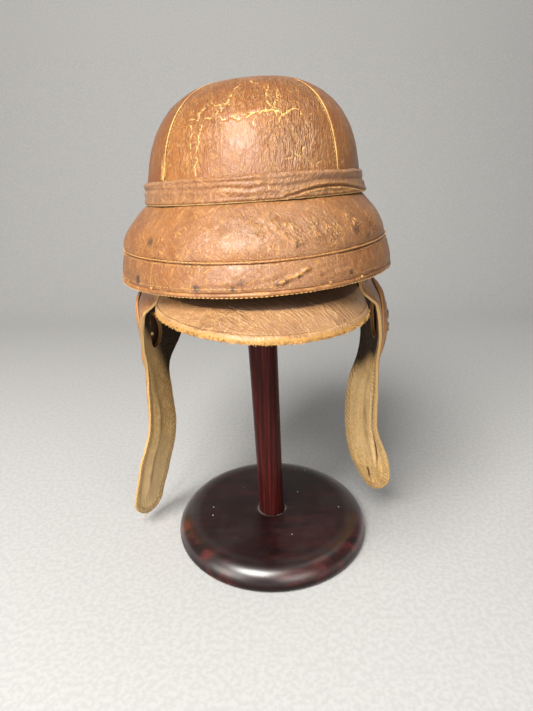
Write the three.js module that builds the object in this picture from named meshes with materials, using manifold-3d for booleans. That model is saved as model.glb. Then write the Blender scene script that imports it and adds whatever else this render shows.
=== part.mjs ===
// A leather flying helmet of about 1915 on a turned wooden display stand.
// Millimetres, +Z up, the origin on the table under the middle of the stand, the helmet's front towards -Y.
//
// The helmet is four stiff pads that butt together under four leather crown panels. A leather band covers the
// foot of the panels. Below it a stuffed roll and a skirt stand out all round, with a welt between them and
// another along the lower edge. A half-moon peak, and two ear flaps that narrow into chin straps, hang from
// the rim.
// Each flap is leather lined with suede, with a hole for the ear under a domed cover that has six eyelets.
import * as THREE from "three";
import { mergeVertices } from "three/addons/utils/BufferGeometryUtils.js";
import Module from "manifold-3d";

const wasm = await Module();
wasm.setup();

// How the helmet sits on its stand: raised at the front, a little higher on the wearer's left, which is +X,
// and turned a little towards that side.
const HELMET_AT = new THREE.Vector3(-2, 0, 294.5);
const HELMET_PITCH = 3.3;
const HELMET_ROLL = 0.8;
const HELMET_YAW = 3.5;

// The post leans a little in its socket, towards -X, and carries the head and the helmet with it.
const POST_LEAN = 1.9;

// The plan is an oval, slightly narrower in front.
const OVAL_SEGMENTS = 40;
const EGG = 0.04;

// The worn crown leans to the wearer's left, by this share of the height above the roll's welt.
const CROWN_LEAN = 0.05;

// The crown, outside its leather. Its half-length is more than its half-width by the same amount all the
// way down.
const CROWN_HALF_WIDTH = 91.5;
const OVAL_EXTRA = 21;
const SPRING_Z = 76;
const CROWN_RISE = 74.5;
const CROWN_TAPER = 0.11;
const CROWN_ROUNDNESS = 2.85;
const CLIMBS = [0, 12, 24, 37, 50, 63, 75, 84];

// The pads under the leather. The gap keeps flat facets of neighbouring layers apart.
const LEATHER = 2;
const LAYER_GAP = 0.7;
const PAD_WALL = 8;
const PAD_INSET = LEATHER + LAYER_GAP;

// The rim drops at the nape.
const NAPE_DROP = 4;

// Crown panels, each over its own pad: where the seams are, in degrees round the oval from the front.
const PANELS = [
  { side: "front", from: -52, to: 42 },
  { side: "left", from: 42, to: 136 },
  { side: "back", from: 136, to: 224 },
  { side: "right", from: 224, to: 308 },
];
const PANEL_COLUMNS = 9;
const PANEL_FOOT_Z = 62;
const SEAM_GAP = 0.8;
const PANEL_TOP_CLIMB = 88.6;

// The band round the foot of the crown.
const BAND_TOP_Z = 76;
const BAND_FOOT_Z = 58;
const BAND_THICKNESS = 1.8;
const BAND_EDGE_TURNED_IN = 0.9;
const BAND_EDGE_SHARE = 0.15;

// The roll and the skirt, which stand out from the foot of the band.
const BUMPER_BASE = 95;
const ROLL_SWELL = 21;
const ROLL_FULLNESS = 0.9;
const LENGTHWISE_SWELL = 1.25;
const ROLL_STEPS = 6;
const SEAM_Z = 24;
const SEAM_FRONT_DIP = 3.5;
const SKIRT_TOP_OUT = 22;
const SKIRT_SWELL = 3.2;
const SKIRT_BULGE_TURN = 0.72 * Math.PI;
const SKIRT_STEPS = 3;
const UNDERSIDE_OUT = 19;
const WELT_RADIUS = 1.5;
const WELT_OUT = 21.3;
const RIM_WELT_RADIUS = 2.1;
const RIM_WELT_OUT = 23.2;
const RIM_WELT_DROP = 1.1;
const WELT_SIDES = 5;
const NEIGHBOUR_GAP = 0.4;

// The peak: a half-moon that hangs nearly level under the front of the rim.
const PEAK_ROOT_TURN = 64;
const PEAK_ROOT_INSET = 7;
const PEAK_HALF_WIDTH = 84;
const PEAK_CORNER_Y = -82;
const PEAK_REACH = 83;
const PEAK_CORNER_Z = -23;
const PEAK_FRONT_Z = -27;
const PEAK_NARROWING = 0.12;
const PEAK_LEAN = 0.07;
const PEAK_CAMBER = 2.5;
const PEAK_DROOP = 1.15;
const PEAK_THICKNESS = 3.6;
const PEAK_COLUMNS = 16;
const PEAK_ROWS = 4;

// The ear flaps. Each row is a cut across the flap: drop is how far its middle is below the rim, and front
// and back are where its two edges are, [out to the side, towards the back]. The back edge hangs lower than
// the front one by twice the slant, and the leather bows out between the edges by bow.
const FLAP_LEATHER = 1.4;
const FLAP_LINING = 1.6;
const FLAP_LAYER_GAP = 0.35;
const FLAP_COLUMNS = 6;
const FLAP_STEPS = 14;
const FLAP_STEPS_CROWDED = 0.07;
const FLAP_TIP_WIDTH = 0.3;
const FLAP_FOLLOWS_RIM = 70;
const FLAPS = [
  {
    side: "left",
    sign: 1,
    endRadius: 20,
    buttonhole: true,
    rows: [
      { drop: 0, front: [79, -74], back: [71, 85], slant: 0, bow: 25 },
      { drop: 17, front: [79, -75], back: [84, 76], slant: 0, bow: 19 },
      { drop: 33, front: [94, -67], back: [97, 62], slant: 1, bow: 11 },
      { drop: 67, front: [100, -56], back: [107, 52], slant: 6, bow: 5.5 },
      { drop: 97, front: [101, -39], back: [103, 40], slant: 5, bow: 4 },
      { drop: 129, front: [104, -29], back: [90, 32], slant: 5, bow: 3.5 },
      { drop: 174, front: [106, -20], back: [86, 33], slant: 5, bow: 2.5 },
      { drop: 217, front: [119, -15], back: [92, 40], slant: 8, bow: 0.5 },
      { drop: 258, front: [124, -8], back: [106, 40], slant: 8, bow: -3 },
    ],
  },
  {
    side: "right",
    sign: -1,
    endRadius: 20,
    buttonhole: false,
    rows: [
      { drop: 0, front: [80, -74], back: [71, 85], slant: 0, bow: 25 },
      { drop: 12, front: [80, -71], back: [78, 82], slant: 0, bow: 22 },
      { drop: 27, front: [96, -58], back: [86, 79], slant: 0, bow: 15 },
      { drop: 67, front: [105, -36], back: [82, 77], slant: 7, bow: 8 },
      { drop: 94, front: [107, -22], back: [97, 52], slant: 10, bow: 5 },
      { drop: 121, front: [110, -14], back: [97, 43], slant: 9, bow: 4 },
      { drop: 164, front: [116, -5], back: [97, 45], slant: 9, bow: 3 },
      { drop: 209, front: [132, -2], back: [109, 52], slant: 9, bow: 2 },
      { drop: 274, front: [148, 10], back: [128, 53], slant: 9, bow: 1 },
    ],
  },
];
const BUTTONHOLE = { drop: 235, share: 0.2, height: 12, width: 2.2 };

// The ear: a round hole through the flap, and a domed cover over it outside.
const EAR = { drop: 60, share: -0.06, holeRadius: 17 };
const COVER = { halfHeight: 41, halfWidth: 33, dome: 5.5, fullness: 0.8, thickness: 1.6, gap: 1 };
const COVER_TOP_DROP = 1.5;
const COVER_RINGS = 4;
const COVER_SPOKES = 16;
const EYELETS = 6;
const EYELET_RING = 12.5;
const EYELET = { bore: 2.3, tube: 2.9, flange: 4.4, lip: 0.8, bevel: 0.4, inside: 0.4, sides: 8 };
const EYELET_CLEARANCE = 0.3;

// The stand: a round-edged base, a plain post let into it, and a rounded head under the crown.
const BASE_RADIUS = 101.6;
const BASE_THICKNESS = 23;
const BASE_TOP_ROUND = { width: 17, height: 17 };
const BASE_FOOT_ROUND = { width: 5, height: 6 };
const POST_FOOT_RADIUS = 12.9;
const POST_TOP_RADIUS = 15.5;
const SOCKET_DEPTH = 12;
const SOCKET_CLEARANCE = 1.2;
const HEAD_RADIUS = 44;
const HEAD_RISE = 12;
const HEAD_THICKNESS = 24;
const HEAD_CHAMFER = 4;
const HEAD_TOP_Z = 433.9;
const SEAT_GAP = 0.3;

// The post stands just clear of its socket's floor, raised for its lean.
const POST_FOOT_CLEARANCE = 0.75;
const POST_FOOT_Z = BASE_THICKNESS - SOCKET_DEPTH + POST_FOOT_CLEARANCE;

const HEIGHT = new THREE.Vector3(0, 0, 1);
const radians = THREE.MathUtils.degToRad;
const lerp = THREE.MathUtils.lerp;

// Materials, with the colours of worn brown leather, tan suede, dull brass and dark red-stained wood.
const crownLeather = new THREE.MeshStandardMaterial({ color: 0x9a5a2c, roughness: 0.5 });
const rollLeather = new THREE.MeshStandardMaterial({ color: 0xa2643a, roughness: 0.5 });
const weltLeather = new THREE.MeshStandardMaterial({ color: 0xb98752, roughness: 0.6 });
const padCloth = new THREE.MeshStandardMaterial({ color: 0x3a2a1e, roughness: 0.9 });
const suede = new THREE.MeshStandardMaterial({ color: 0xb08a52, roughness: 0.95 });
const brass = new THREE.MeshStandardMaterial({ color: 0x9b8350, roughness: 0.45, metalness: 1 });
const wood = new THREE.MeshStandardMaterial({ color: 0x2e1214, roughness: 0.35 });

// A closed geometry from points and faces of three or four corners. Corners that coincide are merged, faces
// that vanish are dropped, and the faces are turned to point outwards.
function closedGeometry(points, faces) {
  const keyOf = (p) => p.toArray().map((v) => v.toFixed(5)).join();
  const firstWith = new Map();
  const merged = points.map((p, i) => {
    const key = keyOf(p);
    if (!firstWith.has(key)) firstWith.set(key, i);
    return firstWith.get(key);
  });
  const triangles = [];
  for (const face of faces) {
    const corners = face.map((i) => merged[i]);
    for (const [a, b, c] of [corners.slice(0, 3), [corners[0], corners[2], corners[3]]]) {
      if (c !== undefined && a !== b && b !== c && c !== a) triangles.push([a, b, c]);
    }
  }
  const cross = new THREE.Vector3();
  const volume = triangles.reduce(
    (sum, [a, b, c]) => sum + points[a].dot(cross.crossVectors(points[b], points[c])),
    0,
  );
  const index = triangles.flatMap(([a, b, c]) => (volume < 0 ? [a, c, b] : [a, b, c]));
  const geometry = new THREE.BufferGeometry().setFromPoints(points);
  geometry.setIndex(index);
  return geometry;
}

// A wall between two grids of points, outer[row][column] and inner[row][column]. With wrap, the last column
// joins the first. Where a whole row is one point, such as an apex, the wall closes there without a border.
function wallGeometry(outer, inner, wrap = false) {
  const rows = outer.length;
  const columns = outer[0].length;
  const points = [...outer.flat(), ...inner.flat()];
  const o = (i, j) => i * columns + (j % columns);
  const n = (i, j) => rows * columns + o(i, j);
  const faces = [];
  const lastColumn = wrap ? columns : columns - 1;
  for (let i = 0; i < rows - 1; i++) {
    for (let j = 0; j < lastColumn; j++) {
      faces.push([o(i, j), o(i, j + 1), o(i + 1, j + 1), o(i + 1, j)]);
      faces.push([n(i, j), n(i + 1, j), n(i + 1, j + 1), n(i, j + 1)]);
    }
    if (!wrap) {
      faces.push([o(i, 0), o(i + 1, 0), n(i + 1, 0), n(i, 0)]);
      faces.push([o(i, lastColumn), n(i, lastColumn), n(i + 1, lastColumn), o(i + 1, lastColumn)]);
    }
  }
  for (const [i, flip] of [[0, true], [rows - 1, false]]) {
    if (outer[i][0].distanceTo(outer[i][1]) < 1e-4) continue;
    for (let j = 0; j < lastColumn; j++) {
      const face = [o(i, j), o(i, j + 1), n(i, j + 1), n(i, j)];
      faces.push(flip ? face.reverse() : face);
    }
  }
  return closedGeometry(points, faces);
}

// A ring whose cross-section is a closed loop of points, one loop for each step round the oval.
function ringGeometry(loopAt) {
  const loops = ovalTurns().map(loopAt);
  const count = loops[0].length;
  const at = (i, j) => (i % loops.length) * count + (j % count);
  const faces = [];
  for (let i = 0; i < loops.length; i++) {
    for (let j = 0; j < count; j++) faces.push([at(i, j), at(i, j + 1), at(i + 1, j + 1), at(i + 1, j)]);
  }
  return closedGeometry(loops.flat(), faces);
}

// A closed geometry as a manifold solid, and back.
function toSolid(geometry) {
  const bare = geometry.index ? geometry.toNonIndexed() : geometry.clone();
  for (const name of Object.keys(bare.attributes)) if (name !== "position") bare.deleteAttribute(name);
  const merged = mergeVertices(bare, 1e-4);
  return new wasm.Manifold(
    new wasm.Mesh({
      numProp: 3,
      vertProperties: merged.attributes.position.array,
      triVerts: new Uint32Array(merged.index.array),
    }),
  );
}

function toGeometry(solid) {
  const mesh = solid.getMesh();
  const geometry = new THREE.BufferGeometry();
  geometry.setAttribute("position", new THREE.BufferAttribute(new Float32Array(mesh.vertProperties), 3));
  geometry.setIndex(new THREE.BufferAttribute(new Uint32Array(mesh.triVerts), 1));
  return geometry;
}

function named(name, geometry, material) {
  geometry.computeVertexNormals();
  const mesh = new THREE.Mesh(geometry, material);
  mesh.name = name;
  return mesh;
}

// The oval plan. A turn of 0 is the front, and a quarter turn is the wearer's left.
function ovalTurns() {
  return Array.from({ length: OVAL_SEGMENTS }, (_, k) => (k * 2 * Math.PI) / OVAL_SEGMENTS);
}

function onOval(turn, halfWidth, halfLength, z) {
  const x = halfWidth * Math.sin(turn) * (1 - EGG * Math.cos(turn));
  const lean = CROWN_LEAN * Math.max(0, z - SEAM_Z);
  return new THREE.Vector3(x + lean, -halfLength * Math.cos(turn), z);
}

// Shares of one at the front and at the back, falling to zero at the sides.
const frontShare = (turn) => Math.max(0, Math.cos(turn)) ** 2;
const backShare = (turn) => Math.max(0, -Math.cos(turn)) ** 2;
const turnOf = (point) =>
  Math.atan2(point.x / CROWN_HALF_WIDTH, -point.y / (CROWN_HALF_WIDTH + OVAL_EXTRA));
const rimZ = (turn) => -NAPE_DROP * backShare(turn);
const seamZ = (turn) => SEAM_Z - SEAM_FRONT_DIP * frontShare(turn);

// The crown's surface, inset millimetres under the leather's outside: a tapering super-ellipse over the oval.
function onCrown(turn, climb, inset) {
  const power = 2 / CROWN_ROUNDNESS;
  const up = Math.sin(climb) ** power;
  const across = Math.max(0, Math.cos(climb)) ** power * (1 - CROWN_TAPER * up);
  const halfWidth = CROWN_HALF_WIDTH - inset;
  return onOval(
    turn,
    halfWidth * across,
    (halfWidth + OVAL_EXTRA) * across,
    SPRING_Z + (CROWN_RISE - inset) * up,
  );
}

// A point that stands out from the foot of the band, further at the front and back than at the sides.
function onBumper(turn, out, z) {
  return onOval(turn, BUMPER_BASE + out, BUMPER_BASE + OVAL_EXTRA + out * LENGTHWISE_SWELL, z);
}

function onWall(turn, inset, z) {
  return onOval(turn, CROWN_HALF_WIDTH - inset, CROWN_HALF_WIDTH + OVAL_EXTRA - inset, z);
}

// A thin upright cutter from the middle of the oval out past the wall, along one seam.
function seamCutter(turn) {
  const outwards = onOval(turn, CROWN_HALF_WIDTH, CROWN_HALF_WIDTH + OVAL_EXTRA, 0).normalize();
  const sideways = new THREE.Vector3().crossVectors(HEIGHT, outwards);
  const face = (aside) =>
    [-SEAM_Z, SEAM_Z, 2 * SPRING_Z + SEAM_Z].map((z) =>
      [-SEAM_GAP / 2, 2 * CROWN_HALF_WIDTH].map((reach) =>
        onOval(turn, 0, 0, z).addScaledVector(outwards, reach).addScaledVector(sideways, aside),
      ),
    );
  return toSolid(wallGeometry(face(SEAM_GAP / 2), face(-SEAM_GAP / 2)));
}

// The pads: the stiff padded body of the helmet, open below for the head, cut apart along the panels' seams.
function pads() {
  const surface = (inset) => {
    const foot = ovalTurns().map((turn) => onWall(turn, inset, rimZ(turn)));
    const seam = ovalTurns().map((turn) => onWall(turn, inset, SEAM_Z));
    const dome = CLIMBS.map((climb) => ovalTurns().map((turn) => onCrown(turn, radians(climb), inset)));
    const apex = ovalTurns().map((turn) => onCrown(turn, Math.PI / 2, inset));
    return [foot, seam, ...dome, apex];
  };
  let body = toSolid(wallGeometry(surface(PAD_INSET), surface(PAD_INSET + PAD_WALL), true));
  for (const { from } of PANELS) body = body.subtract(seamCutter(radians(from)));
  return body.decompose().map((pad) => {
    const { min, max } = pad.boundingBox();
    const turn = THREE.MathUtils.radToDeg(turnOf({ x: min[0] + max[0], y: min[1] + max[1] }));
    const past = (from) => THREE.MathUtils.euclideanModulo(turn - from, 360);
    const { side } = PANELS.find(({ from, to }) => past(from) < to - from);
    return named(`pad_${side}`, toGeometry(pad), padCloth);
  });
}

// One crown panel: a sector of the dome, held back from its seams by half the seam gap.
function crownPanel({ side, from, to }) {
  const surface = (inset) => {
    const row = (place, radius) => {
      const back = SEAM_GAP / 2 / radius;
      return Array.from({ length: PANEL_COLUMNS + 1 }, (_, k) =>
        place(lerp(radians(from) + back, radians(to) - back, k / PANEL_COLUMNS)),
      );
    };
    const foot = row((turn) => onWall(turn, inset, PANEL_FOOT_Z), CROWN_HALF_WIDTH);
    const dome = [...CLIMBS, PANEL_TOP_CLIMB].map((climb) => {
      const radius = onCrown(Math.PI / 2, radians(climb), inset).x;
      return row((turn) => onCrown(turn, radians(climb), inset), radius);
    });
    return [foot, ...dome];
  };
  return named(`crown_panel_${side}`, wallGeometry(surface(0), surface(LEATHER)), crownLeather);
}

// The band, a strip with turned-in edges that stands a little proud of the panels it covers.
function crownBand() {
  const inside = -LAYER_GAP;
  const outside = inside - BAND_THICKNESS;
  const edge = outside + BAND_EDGE_TURNED_IN;
  const loopAt = (turn) => [
    onWall(turn, inside, BAND_FOOT_Z),
    onWall(turn, edge, BAND_FOOT_Z),
    onWall(turn, outside, lerp(BAND_FOOT_Z, BAND_TOP_Z, BAND_EDGE_SHARE)),
    onWall(turn, outside, lerp(BAND_FOOT_Z, BAND_TOP_Z, 1 - BAND_EDGE_SHARE)),
    onWall(turn, edge, BAND_TOP_Z),
    onWall(turn, inside, BAND_TOP_Z),
  ];
  return named("crown_band", ringGeometry(loopAt), rollLeather);
}

// How far the roll stands out, as a share of its swell, from its top at 0 to its foot at 1.
const rollOut = (down) => Math.sin((down * Math.PI) / 2) ** ROLL_FULLNESS;

// The stuffed roll between the band and the welt.
function roll() {
  const loopAt = (turn) => {
    const top = BAND_FOOT_Z - NEIGHBOUR_GAP;
    const foot = seamZ(turn) + WELT_RADIUS + NEIGHBOUR_GAP;
    const outside = Array.from({ length: ROLL_STEPS + 1 }, (_, k) => {
      const down = k / ROLL_STEPS;
      return onBumper(turn, ROLL_SWELL * rollOut(down), lerp(top, foot, down));
    });
    const inside = [foot, top].map((z) => onWall(turn, PAD_INSET - LAYER_GAP, z));
    return [...outside, ...inside];
  };
  return named("bumper_roll", ringGeometry(loopAt), rollLeather);
}

// The skirt under the roll, with its flat underside.
function skirt() {
  const loopAt = (turn) => {
    const top = seamZ(turn) - WELT_RADIUS - NEIGHBOUR_GAP;
    const foot = rimZ(turn) + RIM_WELT_RADIUS;
    const outside = Array.from({ length: SKIRT_STEPS + 1 }, (_, k) => {
      const down = k / SKIRT_STEPS;
      const out = SKIRT_TOP_OUT + SKIRT_SWELL * Math.sin(down * SKIRT_BULGE_TURN);
      return onBumper(turn, out, lerp(top, foot, down));
    });
    const underside = onBumper(turn, UNDERSIDE_OUT, rimZ(turn));
    const inside = [rimZ(turn), top].map((z) => onWall(turn, PAD_INSET - LAYER_GAP, z));
    return [...outside, underside, ...inside];
  };
  return named("bumper_skirt", ringGeometry(loopAt), rollLeather);
}

// A welt: a round cord in leather that runs right round at a given distance out and height.
function welt(name, radius, out, zAt) {
  const loopAt = (turn) =>
    Array.from({ length: WELT_SIDES }, (_, k) => {
      const angle = ((k + 0.5) * 2 * Math.PI) / WELT_SIDES;
      return onBumper(turn, out + radius * Math.cos(angle), zAt(turn) + radius * Math.sin(angle));
    });
  return named(name, ringGeometry(loopAt), weltLeather);
}

// The peak, from its root under the rim to its rounded outer edge.
function peak() {
  const place = (share, reach, sink) => {
    const turn = radians(lerp(-PEAK_ROOT_TURN, PEAK_ROOT_TURN, share));
    const root = onWall(turn, PEAK_ROOT_INSET, rimZ(turn) - NEIGHBOUR_GAP);
    const angle = lerp(-Math.PI / 2, Math.PI / 2, share);
    const edgeX = PEAK_HALF_WIDTH * Math.sin(angle) * (1 - PEAK_NARROWING * Math.cos(angle));
    const edgeZ = lerp(PEAK_CORNER_Z, PEAK_FRONT_Z, Math.cos(angle)) - PEAK_LEAN * edgeX;
    const edge = new THREE.Vector3(edgeX, PEAK_CORNER_Y - PEAK_REACH * Math.cos(angle), edgeZ);
    const point = root.clone().lerp(edge, reach);
    const straight = lerp(root.z, edge.z, reach ** PEAK_DROOP);
    point.z = straight + PEAK_CAMBER * Math.sin(reach * Math.PI) - sink;
    return point;
  };
  const surface = (sink) =>
    Array.from({ length: PEAK_ROWS + 1 }, (_, i) =>
      Array.from({ length: PEAK_COLUMNS + 1 }, (_, j) => place(j / PEAK_COLUMNS, i / PEAK_ROWS, sink)),
    );
  return named("peak", wallGeometry(surface(0), surface(PEAK_THICKNESS)), rollLeather);
}

// A flap's row at any drop, on smooth curves through its table.
function flapRow({ rows }, drop) {
  let k = rows.findIndex((row) => row.drop >= drop);
  if (k < 1) k = 1;
  const share = (drop - rows[k - 1].drop) / (rows[k].drop - rows[k - 1].drop);
  const along = (valueOf) => {
    const curve = new THREE.SplineCurve(rows.map((row) => new THREE.Vector2(0, valueOf(row))));
    return curve.getPoint((k - 1 + share) / (rows.length - 1)).y;
  };
  const front = new THREE.Vector2(along((row) => row.front[0]), along((row) => row.front[1]));
  const back = new THREE.Vector2(along((row) => row.back[0]), along((row) => row.back[1]));
  return { front, back, slant: along((row) => row.slant), bow: along((row) => row.bow) };
}

// A point on the flap's lining side. Share runs from -1 at the front edge to 1 at the back edge. The free end
// is blunt, with rounded corners.
function onFlap(flap, drop, share) {
  const { front, back, slant, bow } = flapRow(flap, drop);
  const pastStraight = Math.max(0, drop - (flapLength(flap) - flap.endRadius)) / flap.endRadius;
  const round = Math.max(FLAP_TIP_WIDTH, Math.cbrt(Math.max(0, 1 - pastStraight ** 3)));
  const across = front.clone().lerp(back, 0.5 + (share * round) / 2);
  const chord = back.clone().sub(front).normalize();
  const out = bow * (1 - share ** 2);
  const x = (across.x + chord.y * out) * flap.sign;
  const point = new THREE.Vector3(x, across.y - chord.x * out, -drop - slant * share * round - NEIGHBOUR_GAP);
  point.z += rimZ(turnOf(point)) * Math.max(0, 1 - drop / FLAP_FOLLOWS_RIM);
  return point;
}

const flapLength = ({ rows }) => rows[rows.length - 1].drop;

// The unit normal of a flap, pointing out through its leather.
function flapNormal(flap, drop, share) {
  const step = 0.5;
  const low = Math.max(0, drop - step);
  const high = Math.min(flapLength(flap), drop + step);
  const down = onFlap(flap, high, share).sub(onFlap(flap, low, share));
  const back = onFlap(flap, drop, share + 0.02).sub(onFlap(flap, drop, share - 0.02));
  const normal = down.cross(back).normalize();
  return normal.x * flap.sign < 0 ? normal.negate() : normal;
}

// A sheet that follows the flap, from near to far millimetres out from the lining's inner face.
function flapSheet(flap, near, far) {
  const surface = (out) =>
    Array.from({ length: FLAP_STEPS + 1 }, (_, i) => {
      const even = i / FLAP_STEPS;
      const drop = flapLength(flap) * (even + FLAP_STEPS_CROWDED * Math.sin(even * Math.PI));
      return Array.from({ length: FLAP_COLUMNS + 1 }, (_, j) => {
        const share = lerp(-1, 1, j / FLAP_COLUMNS);
        const point = onFlap(flap, drop, share).addScaledVector(flapNormal(flap, drop, share), out);
        if (i === 0) point.z = rimZ(turnOf(point)) - NEIGHBOUR_GAP;
        return point;
      });
    });
  return wallGeometry(surface(far), surface(near));
}

// A cutter for a straight hole through the flap: an upright profile pushed along the flap's normal.
function flapCutter(flap, drop, share, shape, curveSegments) {
  const reach = 60;
  const geometry = new THREE.ExtrudeGeometry(shape, { depth: reach, bevelEnabled: false, curveSegments });
  geometry.translate(0, 0, -reach / 2);
  const normal = flapNormal(flap, drop, share);
  const sideways = new THREE.Vector3().crossVectors(HEIGHT, normal).normalize();
  const upwards = new THREE.Vector3().crossVectors(normal, sideways);
  const place = new THREE.Matrix4().makeBasis(sideways, upwards, normal);
  place.setPosition(onFlap(flap, drop, share));
  return toSolid(geometry.applyMatrix4(place));
}

function roundShape(radius) {
  return new THREE.Shape().absarc(0, 0, radius, 0, 2 * Math.PI);
}

function slotShape({ height, width }) {
  const straight = (height - width) / 2;
  const shape = new THREE.Shape();
  shape.absarc(0, straight, width / 2, 0, Math.PI);
  shape.absarc(0, -straight, width / 2, Math.PI, 2 * Math.PI);
  return shape;
}

// The leather and the lining of one flap, both cut through at the ear and at the buttonhole.
function flapLayers(flap) {
  const liningOut = FLAP_LINING;
  const leatherIn = liningOut + FLAP_LAYER_GAP;
  const leatherOut = leatherIn + FLAP_LEATHER;
  let cut = flapCutter(flap, EAR.drop, EAR.share, roundShape(EAR.holeRadius), 9);
  if (flap.buttonhole) {
    cut = cut.add(flapCutter(flap, BUTTONHOLE.drop, BUTTONHOLE.share, slotShape(BUTTONHOLE), 2));
  }
  const layer = (near, far) => toGeometry(toSolid(flapSheet(flap, near, far)).subtract(cut));
  return [
    named(`flap_lining_${flap.side}`, layer(0, liningOut), suede),
    named(`ear_flap_${flap.side}`, layer(leatherIn, leatherOut), rollLeather),
  ];
}

// A point on the ear cover, back and up in millimetres from its middle. It is domed, and flat at its sewn
// edge.
function onCover(flap, back, up, out) {
  const drop = Math.max(COVER_TOP_DROP, EAR.drop - up);
  const row = flapRow(flap, drop);
  const share = EAR.share + (2 * back) / row.front.distanceTo(row.back);
  const flapOut = FLAP_LINING + FLAP_LAYER_GAP + FLAP_LEATHER + COVER.gap;
  const ring = Math.min(1, Math.hypot(back / COVER.halfWidth, up / COVER.halfHeight));
  const dome = COVER.dome * Math.cos((ring * Math.PI) / 2) ** COVER.fullness;
  return onFlap(flap, drop, share).addScaledVector(flapNormal(flap, drop, share), flapOut + dome + out);
}

// The domed cover with its six eyelets.
function coverAndEyelets(flap) {
  const spokes = Array.from({ length: COVER_SPOKES }, (_, k) => (k * 2 * Math.PI) / COVER_SPOKES);
  const surface = (out) =>
    Array.from({ length: COVER_RINGS + 1 }, (_, i) =>
      spokes.map((spoke) => {
        const ring = 1 - i / COVER_RINGS;
        const back = COVER.halfWidth * ring * Math.cos(spoke);
        return onCover(flap, back, COVER.halfHeight * ring * Math.sin(spoke), out);
      }),
    );
  let cover = toSolid(wallGeometry(surface(COVER.thickness), surface(0), true));
  const rings = [];
  for (let k = 0; k < EYELETS; k++) {
    const spoke = ((k + 0.5) * 2 * Math.PI) / EYELETS;
    const back = EYELET_RING * Math.cos(spoke);
    const up = EYELET_RING * Math.sin(spoke);
    const at = onCover(flap, back, up, COVER.thickness);
    const backward = onCover(flap, back + 1, up, COVER.thickness).sub(at);
    const upward = onCover(flap, back, up + 1, COVER.thickness).sub(at);
    const normal = backward.cross(upward).normalize();
    if (normal.x * flap.sign < 0) normal.negate();
    const upright = new THREE.Quaternion().setFromUnitVectors(HEIGHT, normal);
    const place = new THREE.Matrix4().compose(at, upright, new THREE.Vector3(1, 1, 1));

    const boreRadius = EYELET.tube + EYELET_CLEARANCE;
    const bore = new THREE.CylinderGeometry(boreRadius, boreRadius, 4 * COVER.dome, EYELET.sides);
    cover = cover.subtract(toSolid(bore.rotateX(Math.PI / 2).applyMatrix4(place)));

    const underFlange = EYELET_CLEARANCE;
    const tubeEnd = -COVER.thickness - EYELET.inside;
    const profile = [
      [EYELET.bore, tubeEnd],
      [EYELET.tube, tubeEnd],
      [EYELET.tube, underFlange],
      [EYELET.flange, underFlange],
      [EYELET.flange - EYELET.bevel, underFlange + EYELET.lip],
      [EYELET.bore, underFlange + EYELET.lip],
      [EYELET.bore, tubeEnd],
    ].map(([radius, z]) => new THREE.Vector2(radius, z));
    const eyelet = new THREE.LatheGeometry(profile, EYELET.sides).rotateX(Math.PI / 2);
    rings.push(named(`eyelet_${flap.side}_${k + 1}`, toGeometry(toSolid(eyelet.applyMatrix4(place))), brass));
  }
  return [named(`ear_cover_${flap.side}`, toGeometry(cover), rollLeather), ...rings];
}

// A turned wooden piece from a profile of [radius, z] pairs that starts and ends on the axis.
function turned(name, profile, segments) {
  const geometry = new THREE.LatheGeometry(profile.map(([r, z]) => new THREE.Vector2(r, z)), segments);
  return named(name, geometry.rotateX(Math.PI / 2), wood);
}

// The base: a flat disc with a round edge, tighter underneath, and a socket for the post.
function standBase() {
  const quarter = (round, middleZ, from, steps) =>
    Array.from({ length: steps + 1 }, (_, k) => {
      const angle = from + ((k / steps) * Math.PI) / 2;
      return [BASE_RADIUS - round.width * (1 - Math.cos(angle)), middleZ + round.height * Math.sin(angle)];
    });
  const footEdge = quarter(BASE_FOOT_ROUND, BASE_FOOT_ROUND.height, -Math.PI / 2, 2);
  const topEdge = quarter(BASE_TOP_ROUND, BASE_FOOT_ROUND.height, 0, 5);
  const edge = [...footEdge, ...topEdge.slice(1)];
  const socket = POST_FOOT_RADIUS + SOCKET_CLEARANCE;
  const floor = BASE_THICKNESS - SOCKET_DEPTH;
  return turned("stand_base", [[0, 0], ...edge, [socket, BASE_THICKNESS], [socket, floor], [0, floor]], 48);
}

// The post and its head are in the leaning group, whose origin is the middle of the post's foot.
function standPost() {
  const top = HEAD_TOP_Z - HEAD_THICKNESS - SEAT_GAP - POST_FOOT_Z;
  return turned("stand_post", [[0, 0], [POST_FOOT_RADIUS, 0], [POST_TOP_RADIUS, top], [0, top]], 24);
}

// The head: a disc with a domed top that the crown rests on.
function standHead() {
  const sphere = (HEAD_RADIUS ** 2 + HEAD_RISE ** 2) / (2 * HEAD_RISE);
  const crest = HEAD_TOP_Z - POST_FOOT_Z;
  const dome = Array.from({ length: 6 }, (_, k) => {
    const radius = HEAD_RADIUS * (1 - k / 5);
    return [radius, crest - sphere + Math.sqrt(sphere ** 2 - radius ** 2)];
  });
  const foot = crest - HEAD_THICKNESS;
  const side = [[0, foot], [HEAD_RADIUS - HEAD_CHAMFER, foot], [HEAD_RADIUS, foot + HEAD_CHAMFER]];
  return turned("stand_head", [...side, ...dome], 24);
}

const helmet = new THREE.Group();
helmet.rotation.set(-radians(HELMET_PITCH), -radians(HELMET_ROLL), radians(HELMET_YAW));
helmet.add(...pads(), ...PANELS.map(crownPanel), crownBand(), roll(), skirt());
helmet.add(welt("roll_welt", WELT_RADIUS, WELT_OUT, seamZ));
helmet.add(welt("rim_welt", RIM_WELT_RADIUS, RIM_WELT_OUT, (turn) => rimZ(turn) - RIM_WELT_DROP));
helmet.add(peak());
for (const flap of FLAPS) helmet.add(...flapLayers(flap), ...coverAndEyelets(flap));

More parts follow.
